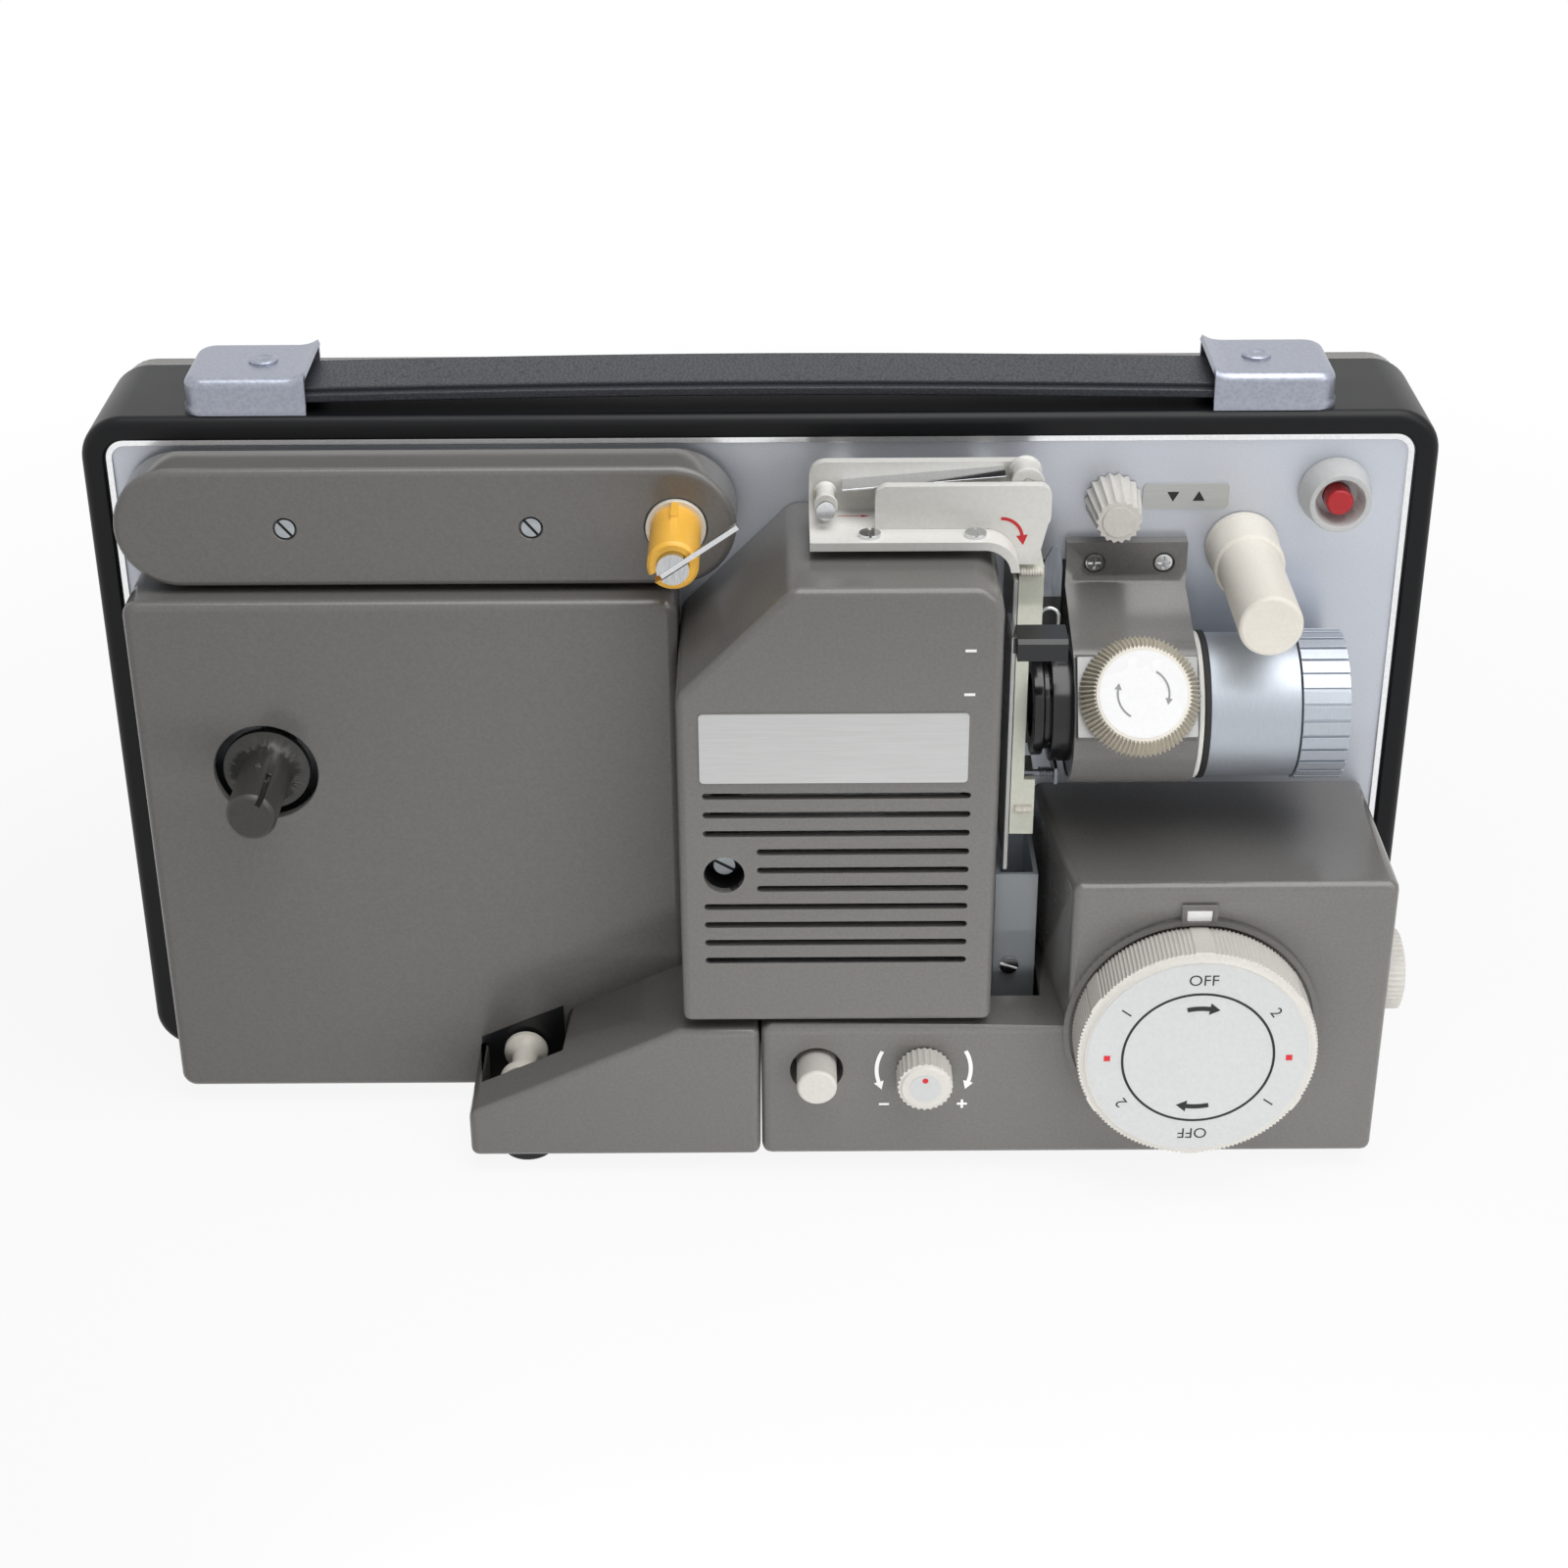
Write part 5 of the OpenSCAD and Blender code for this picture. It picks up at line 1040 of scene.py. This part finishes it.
# %% Index window
HOUSING_FRONT = -64.5 * MM
INDEX_W, INDEX_H, INDEX_CORNER, INDEX_T = metres(6.2, 3.0, 0.3, 0.5)
INDEX_Z, INDEX_PROUD = metres(77.9, 0.6)
form = bmesh.new()
rectangle(form, INDEX_W, INDEX_H, INDEX_CORNER)
index_at = Vector((dial_mid.x, HOUSING_FRONT - INDEX_PROUD, INDEX_Z))
mark("index_window", form, white_enamel, "body", stand(index_at), INDEX_T)
print("index window", in_mm(INDEX_Z - dial_mid.z), "mm above the switch's middle")

# %% [markdown]
# ## Marks round the speed knob
#
# Two white arrows bend down either side of the speed knob, with a minus and a plus under them. The
# knob has a pale inset with a red dot. The arrows stay on the housing, and the dot turns with the
# knob, so they ride on different bodies.

# %% Speed knob marks
SPEED_R, SPEED_W, SPEED_HEAD = *metres(12.0, 1.0), metres(2.4, 2.6)
SIGN_X, SIGN_Y, SIGN_W, SIGN_T = metres(10, -10.6, 2.6, 0.6)
PLUS_ARM, PLUS_REACH = metres(1.0, 0.8)
INSET_R, INSET_T = metres(4.0, 0.12)
DOT_R, DOT_UP = metres(0.75, 2.4)
speed_front = front_middle(*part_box("speed_knob"))

form = bmesh.new()
for begin, sweep in ((28, -46), (152, 46)):
    curved_arrow(form, SPEED_R, SPEED_W, begin, sweep, steps=12, head=SPEED_HEAD)
for side in (-1, 1):
    rectangle(form, SIGN_W, SIGN_T, centre=(side * SIGN_X, SIGN_Y, 0))
for side in (1, -1):
    rectangle(form, SIGN_T, PLUS_ARM, centre=(SIGN_X, SIGN_Y + side * PLUS_REACH, 0))
on_housing = Vector((speed_front.x, HOUSING_FRONT, speed_front.z))
mark("speed_marks", form, white_ink, "body", stand(on_housing))

inset = disc(INSET_R, segments=48)
mark("speed_inset", inset, white_plastic, "speed", stand(speed_front), INSET_T)
dot_at = speed_front + Vector((0, -INSET_T, DOT_UP))
mark("speed_dot", disc(DOT_R, segments=24), red_ink, "speed", stand(dot_at))
print("speed knob stands", in_mm(HOUSING_FRONT - speed_front.y), "mm proud")

# %% [markdown]
# ## Focus disc
#
# The focus knob leans up towards the hand, and a white disc with two grey arrows fills its face.
# The lean comes from the axis of its joint, so the disc lies flat on the knob at every angle.

# %% Focus disc
LENS_AXIS = Vector((91.7, -32.5, 119.7)) * MM
KNOB_REACH = 27.7 * MM
DISC_R, DISC_T = metres(10.6, 0.15)
TURN_R, TURN_W, TURN_HEAD = *metres(6.2, 0.5), metres(1.6, 1.8)
focus_lean = math.atan2(focus_axis.z, -focus_axis.y)
focus_face = LENS_AXIS + focus_axis * KNOB_REACH
on_knob = stand(focus_face, 0, focus_lean)
white_disc = disc(DISC_R, segments=96)
mark("focus_disc", white_disc, white_enamel, "focus", on_knob, DISC_T)
form = bmesh.new()
for begin in (60, 240):
    curved_arrow(form, TURN_R, TURN_W, begin, sweep=-70, steps=16, head=TURN_HEAD)
on_disc = focus_face + focus_axis * DISC_T
mark("focus_arrows", form, grey_ink, "focus", stand(on_disc, 0, focus_lean))
print("focus knob leans", round(math.degrees(focus_lean), 1), "degrees")

# %% [markdown]
# ## Framing plate
#
# Beside the framing knob, a small plate on the panel shows an arrow up and an arrow down.

# %% Framing plate
FRAME_X_MM, FRAME_Z_MM = (94.8, 116.2), (163.6, 170.4)
FRAME_CORNER, FRAME_T = metres(1.4, 0.5)
POINT_X, POINT_W, POINT_FOOT, POINT_TIP = 3.2, 1.5, 1.2, 1.4
frame_at = metal_plate(
    "frame_plate", FRAME_X_MM, FRAME_Z_MM, PANEL_FRONT, FRAME_CORNER, FRAME_T, "body"
)
form = bmesh.new()
for way in (1, -1):
    left, right, foot = way * POINT_X - POINT_W, way * POINT_X + POINT_W, -way * POINT_FOOT
    flat_face(form, [(left, foot), (right, foot), (way * POINT_X, way * POINT_TIP)])
mark("frame_arrows", form, black_ink, "body", stand(frame_at + Vector((0, -FRAME_T, 0))))
print("framing plate", round(FRAME_X_MM[1] - FRAME_X_MM[0], 1), "mm wide")

# %% [markdown]
# ## Threading arrows
#
# A red arrow on the front plate bends down with the film, and a thin one lies on the ledge and
# points along the channel. Each lies on the face that carries it, as printing does.

# %% Threading arrows
BEND_X, BEND_Z = metres(57.6, 168.2)
BEND_R, BEND_W, BEND_HEAD = *metres(5.0, 0.8), metres(2.6, 2.8)
LEDGE_AT = Vector((22.4, -31.7, 170.6)) * MM
SHAFT_L, SHAFT_W, SHAFT_X = metres(6.0, 0.25, -0.8)
TIP_MM = [(2.0, -0.7), (3.8, 0), (2.0, 0.7)]
bend_at = Vector((BEND_X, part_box("guide_plate")[0].y, BEND_Z))
form = bmesh.new()
curved_arrow(form, BEND_R, BEND_W, begin=92, sweep=-84, steps=14, head=BEND_HEAD)
mark("threading_arrow", form, red_ink, "body", stand(bend_at))

form = bmesh.new()
rectangle(form, SHAFT_L, SHAFT_W, centre=(SHAFT_X, 0, 0))
flat_face(form, TIP_MM)
mark("start_arrow", form, red_ink, "body", Matrix.Translation(LEDGE_AT))
print("guide plate's front at", in_mm(bend_at.y), "mm")

# %% [markdown]
# ## Rings on the lens barrel
#
# A pale sleeve closes the gap between the holder and the barrel, and a black ring beside it is
# painted shade where that gap lies in shadow. Each is a rectangle spun about the optical axis,
# which keeps its edges true where a torus would be round.

# %% Rings on the barrel
RING_STEPS = 96


def lens_ring(x_mm, radii_mm, round_mm):
    """A ring about the optical axis: a rectangle is spun and its edges are rounded."""
    form = bmesh.new()
    corners = [(x_mm[i], radii_mm[j]) for i, j in ((0, 0), (1, 0), (1, 1), (0, 1))]
    made = [form.verts.new((x * MM, LENS_AXIS.y, LENS_AXIS.z + r * MM)) for x, r in corners]
    edges = [form.edges.new((made[i - 1], made[i])) for i in range(4)]
    spin(form, made + edges, LENS_AXIS, (1, 0, 0), RING_STEPS)
    bmesh.ops.remove_doubles(form, verts=form.verts, dist=WELD / 4)
    bmesh.ops.recalc_face_normals(form, faces=form.faces)
    round_off(form, corner_edges(form), round_mm, segments=2)
    print("ring", x_mm, "mm along the lens,", len(form.faces), "faces")
    return form


sleeve = lens_ring(x_mm=(106.7, 107.9), radii_mm=(17.8, 18.3), round_mm=0.15)
make_piece("barrel_sleeve", sleeve, guide_plastic, "lens")
# The black ring is painted shade in the gap beside the holder.
gap_shade_ring = lens_ring(x_mm=(107.9, 109.6), radii_mm=(17.8, 18.5), round_mm=0.3)
make_piece("barrel_gap_shade", gap_shade_ring, rubber, "lens")

# %% [markdown]
# ## Plate under the focus knob
#
# A bright plate lies on the holder under the focus knob and leans with it.

# %% Plate under the focus knob
SEAT_W, SEAT_H, SEAT_CORNER, SEAT_T = metres(29.0, 19.6, 0.4, 0.12)
SEAT_X, SEAT_REACH = metres(91.3, 20.0)
form = bmesh.new()
rectangle(form, SEAT_W, SEAT_H, SEAT_CORNER)
seat_at = Vector((SEAT_X, LENS_AXIS.y, LENS_AXIS.z)) + focus_axis * SEAT_REACH
mark(
    "focus_plate", form, plate_metal, "body", stand(seat_at, 0, focus_lean), SEAT_T
)
print("focus plate", in_mm(SEAT_W), "by", in_mm(SEAT_H), "mm")

# %% [markdown]
# ## Ribbed pins and a hairpin on the gate
#
# Ribbed pins lie across both ends of the gate. A disc is pushed on in steps and made wider at
# every second one, which gives the ribs in one closed skin. A hairpin of wire is clipped to the
# gate's side: a disc is pushed up one leg, spun through the bend and pushed down the other.

# %% Ribbed pins on the gate
PIN_R, RIB = 1.0 * MM, 1.15
TOP_PIN_X, TOP_PIN_DOWN, TOP_PIN_L = metres(62.6, 1.2, 5.3)
LOW_PIN_X, LOW_PIN_Z, LOW_PIN_L = metres(63.6, 93.4, 4.2)
gate_low, gate_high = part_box("pressure_gate")


def ribbed_pin(place, length, ribs):
    """A pin along X from that place: a disc is pushed on in steps, wider at every second one."""
    form = bmesh.new()
    lie = Matrix.Translation(place) @ Matrix.Rotation(math.pi / 2, 4, "Y")
    bmesh.ops.create_circle(form, cap_ends=True, radius=PIN_R, segments=16, matrix=lie)
    tip = form.faces[:]
    for step in range(2 * ribs):
        tip = push(form, tip, (length / (2 * ribs), 0, 0), keep=step == 0)
        rim = list({v for f in tip for v in f.verts})
        size = RIB if step % 2 == 0 else 1 / RIB
        bmesh.ops.scale(form, vec=(1, size, size), verts=rim, space=Matrix.Translation(-place))
    bmesh.ops.recalc_face_normals(form, faces=form.faces)
    return form


top_pin = Vector((TOP_PIN_X, gate_low.y, gate_high.z - TOP_PIN_DOWN))
make_piece("gate_pin_top", ribbed_pin(top_pin, TOP_PIN_L, ribs=8), cream_plastic, "gate")
low_pin = Vector((LOW_PIN_X, gate_low.y, LOW_PIN_Z))
make_piece("gate_pin_low", ribbed_pin(low_pin, LOW_PIN_L, ribs=3), cream_plastic, "gate")
print("gate pins", in_mm(top_pin.z - low_pin.z), "mm apart")

# %% Hairpin on the gate
BEND_MID = Vector((70.8, -32.5, 144.0)) * MM
WIRE_R, WIRE_BEND, LEG = metres(0.5, 2.25, 7)
form = bmesh.new()
foot = Matrix.Translation(BEND_MID + Vector((-WIRE_BEND, 0, -LEG)))
bmesh.ops.create_circle(form, cap_ends=True, radius=WIRE_R, segments=12, matrix=foot)
top = push(form, form.faces[:], (0, 0, LEG), keep=True)
bend = spin(form, top, BEND_MID, (0, 1, 0), steps=16, sweep=math.pi)
bmesh.ops.delete(form, geom=top, context="FACES_ONLY")
last = [g for g in bend["geom_last"] if isinstance(g, bmesh.types.BMFace)]
push(form, last, (0, 0, -LEG))
bmesh.ops.remove_doubles(form, verts=form.verts, dist=WELD / 4)
bmesh.ops.recalc_face_normals(form, faces=form.faces)
print("hairpin", len(form.faces), "faces, open edges", sum(e.is_boundary for e in form.edges))
make_piece("gate_hairpin", form, plated_steel, "gate")

# %% [markdown]
# ## Black sheets of painted shade
#
# Black sheets stand behind the lens and in the slot where the film leaves, as painted shade where
# those places lie in shadow. They are thin sheets that lie on the solid behind them.

# %% Painted shade in the film exit and behind the lens
SHADE_SHEET_T = 0.3 * MM
EXIT_MM = [(-75.6, 8.0), (-53.4, 8.0), (-53.4, 31.0), (-75.6, 21.2)]
SHADE_SHEET_W, SHADE_SHEET_H, SHADE_SHEET_CORNER = metres(9.4, 52, 0.5)
SHADE_SHEET_X, SHADE_SHEET_Z = metres(72.0, 124)
cover_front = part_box("take_up_cover")[0].y
# A black sheet in the film exit's recess is painted shade.
form = bmesh.new()
flat_face(form, EXIT_MM)
on_cover = stand(Vector((0, cover_front, 0)))
mark("exit_shade_sheet", form, black_plastic, "body", on_cover, SHADE_SHEET_T)

# A black sheet on the panel behind the lens is painted shade.
form = bmesh.new()
rectangle(form, SHADE_SHEET_W, SHADE_SHEET_H, SHADE_SHEET_CORNER, (SHADE_SHEET_X, SHADE_SHEET_Z, 0))
on_panel = stand(Vector((0, PANEL_FRONT, 0)))
mark("lens_shade_sheet", form, black_plastic, "body", on_panel, SHADE_SHEET_T)
print("shade_sheets", in_mm(SHADE_SHEET_T), "mm thick")

# %% [markdown]
# ## Floor
#
# The object stands on a plain white floor that shows white where it is seen, also in metal and
# glass, and keeps part of the shadow. A bright floor lit by strong lamps would burn out the pale
# knobs. So the floor is a mix: a matt surface for the light that falls on things, and an even
# glow for what the camera sees, which takes over further out.

# %% Floor
FLOOR_REACH = 4.0
FADE_FROM, FADE_TO = 0.25, 0.6
GLOW_NEAR, GLOW_FAR = 0.9, 1.0


def seen_rays(tree):
    """1 for what is seen directly, reflected or through glass, and 0 for light on things."""
    path = add(tree, "ShaderNodeLightPath").outputs
    seen = path["Is Camera Ray"]
    for other in ("Is Glossy Ray", "Is Transmission Ray"):
        both = add(tree, "ShaderNodeMath", {0: seen, 1: path[other]}, operation="MAXIMUM")
        seen = both.outputs["Value"]
    return seen


form = bmesh.new()
bmesh.ops.create_grid(form, x_segments=1, y_segments=1, size=FLOOR_REACH)
mesh = bpy.data.meshes.new("floor")
form.to_mesh(mesh)
form.free()
floor = bpy.data.objects.new("floor", mesh)
bpy.context.scene.collection.objects.link(floor)

floor_white = bpy.data.materials.new("white_floor")
floor_white.use_nodes = True
tree = floor_white.node_tree
tree.nodes.clear()
place = add(tree, "ShaderNodeTexCoord").outputs["Object"]
away = add(tree, "ShaderNodeVectorMath", {0: place}, operation="LENGTH").outputs["Value"]
span = {"From Min": FADE_FROM, "From Max": FADE_TO, "To Min": GLOW_NEAR, "To Max": GLOW_FAR}
fade = add(tree, "ShaderNodeMapRange", {"Value": away, **span}).outputs["Result"]
share = add(tree, "ShaderNodeMath", {0: seen_rays(tree), 1: fade}, operation="MULTIPLY")
matt = add(tree, "ShaderNodeBsdfDiffuse", {"Color": linear("#e0e0e0")}).outputs["BSDF"]
white = {"Color": (1, 1, 1, 1), "Strength": 1.0}
glow = add(tree, "ShaderNodeEmission", white).outputs["Emission"]
mix = add(tree, "ShaderNodeMixShader", {"Fac": share.outputs["Value"], 1: matt, 2: glow})
add(tree, "ShaderNodeOutputMaterial", {"Surface": mix.outputs["Shader"]})
mesh.materials.append(floor_white)
print("floor reaches", FLOOR_REACH, "m")

# %% [markdown]
# ## World and lamps
#
# Soft studio light: a wide lamp above, a second one at the right, a weak one at the left, and a
# low strip in front that stands for the light a white table throws back at the lower fronts. The
# world shows white where it is seen and gives only a little light, so the lamps shape the object.

# %% World and lamps
SKY_LIGHT = 0.11
world = bpy.data.worlds.new("studio")
bpy.context.scene.world = world
world.use_nodes = True
tree = world.node_tree
tree.nodes.clear()
levels = {"Value": seen_rays(tree), "To Min": SKY_LIGHT, "To Max": 1.0}
level = add(tree, "ShaderNodeMapRange", levels).outputs["Result"]
sky = add(tree, "ShaderNodeBackground", {"Color": (1, 1, 1, 1), "Strength": level})
add(tree, "ShaderNodeOutputWorld", {"Surface": sky.outputs["Background"]})


def soft_lamp(name, place, target, width, height, power):
    """An area lamp that faces the target."""
    data = bpy.data.lights.new(name, "AREA")
    data.shape = "RECTANGLE"
    data.size = width
    data.size_y = height
    data.energy = power
    lamp = bpy.data.objects.new(name, data)
    lamp.location = place
    lamp.visible_camera = False
    lamp.rotation_euler = (Vector(target) - Vector(place)).to_track_quat("-Z", "Y").to_euler()
    bpy.context.scene.collection.objects.link(lamp)
    return lamp


BODY_MID, BODY_LOW = (0, 0, 0.08), (0, 0, 0.06)
soft_lamp("top_lamp", (0.2, -0.2, 1.05), BODY_MID, width=0.9, height=0.9, power=9.2)
soft_lamp("right_lamp", (0.9, -0.75, 0.75), BODY_MID, width=0.7, height=0.7, power=3.2)
soft_lamp("left_lamp", (-1.1, -0.6, 0.5), BODY_LOW, width=0.7, height=0.7, power=0.3)
low_lamp = soft_lamp(
    "low_lamp", (0.12, -0.25, 0.022), (0.12, 0, 0.022), width=0.4, height=0.03, power=0.32
)
low_lamp.visible_glossy = False
print("lamps in watts", [round(lamp.energy, 2) for lamp in bpy.data.lights])

# %% Update the view layer
bpy.context.view_layer.update()
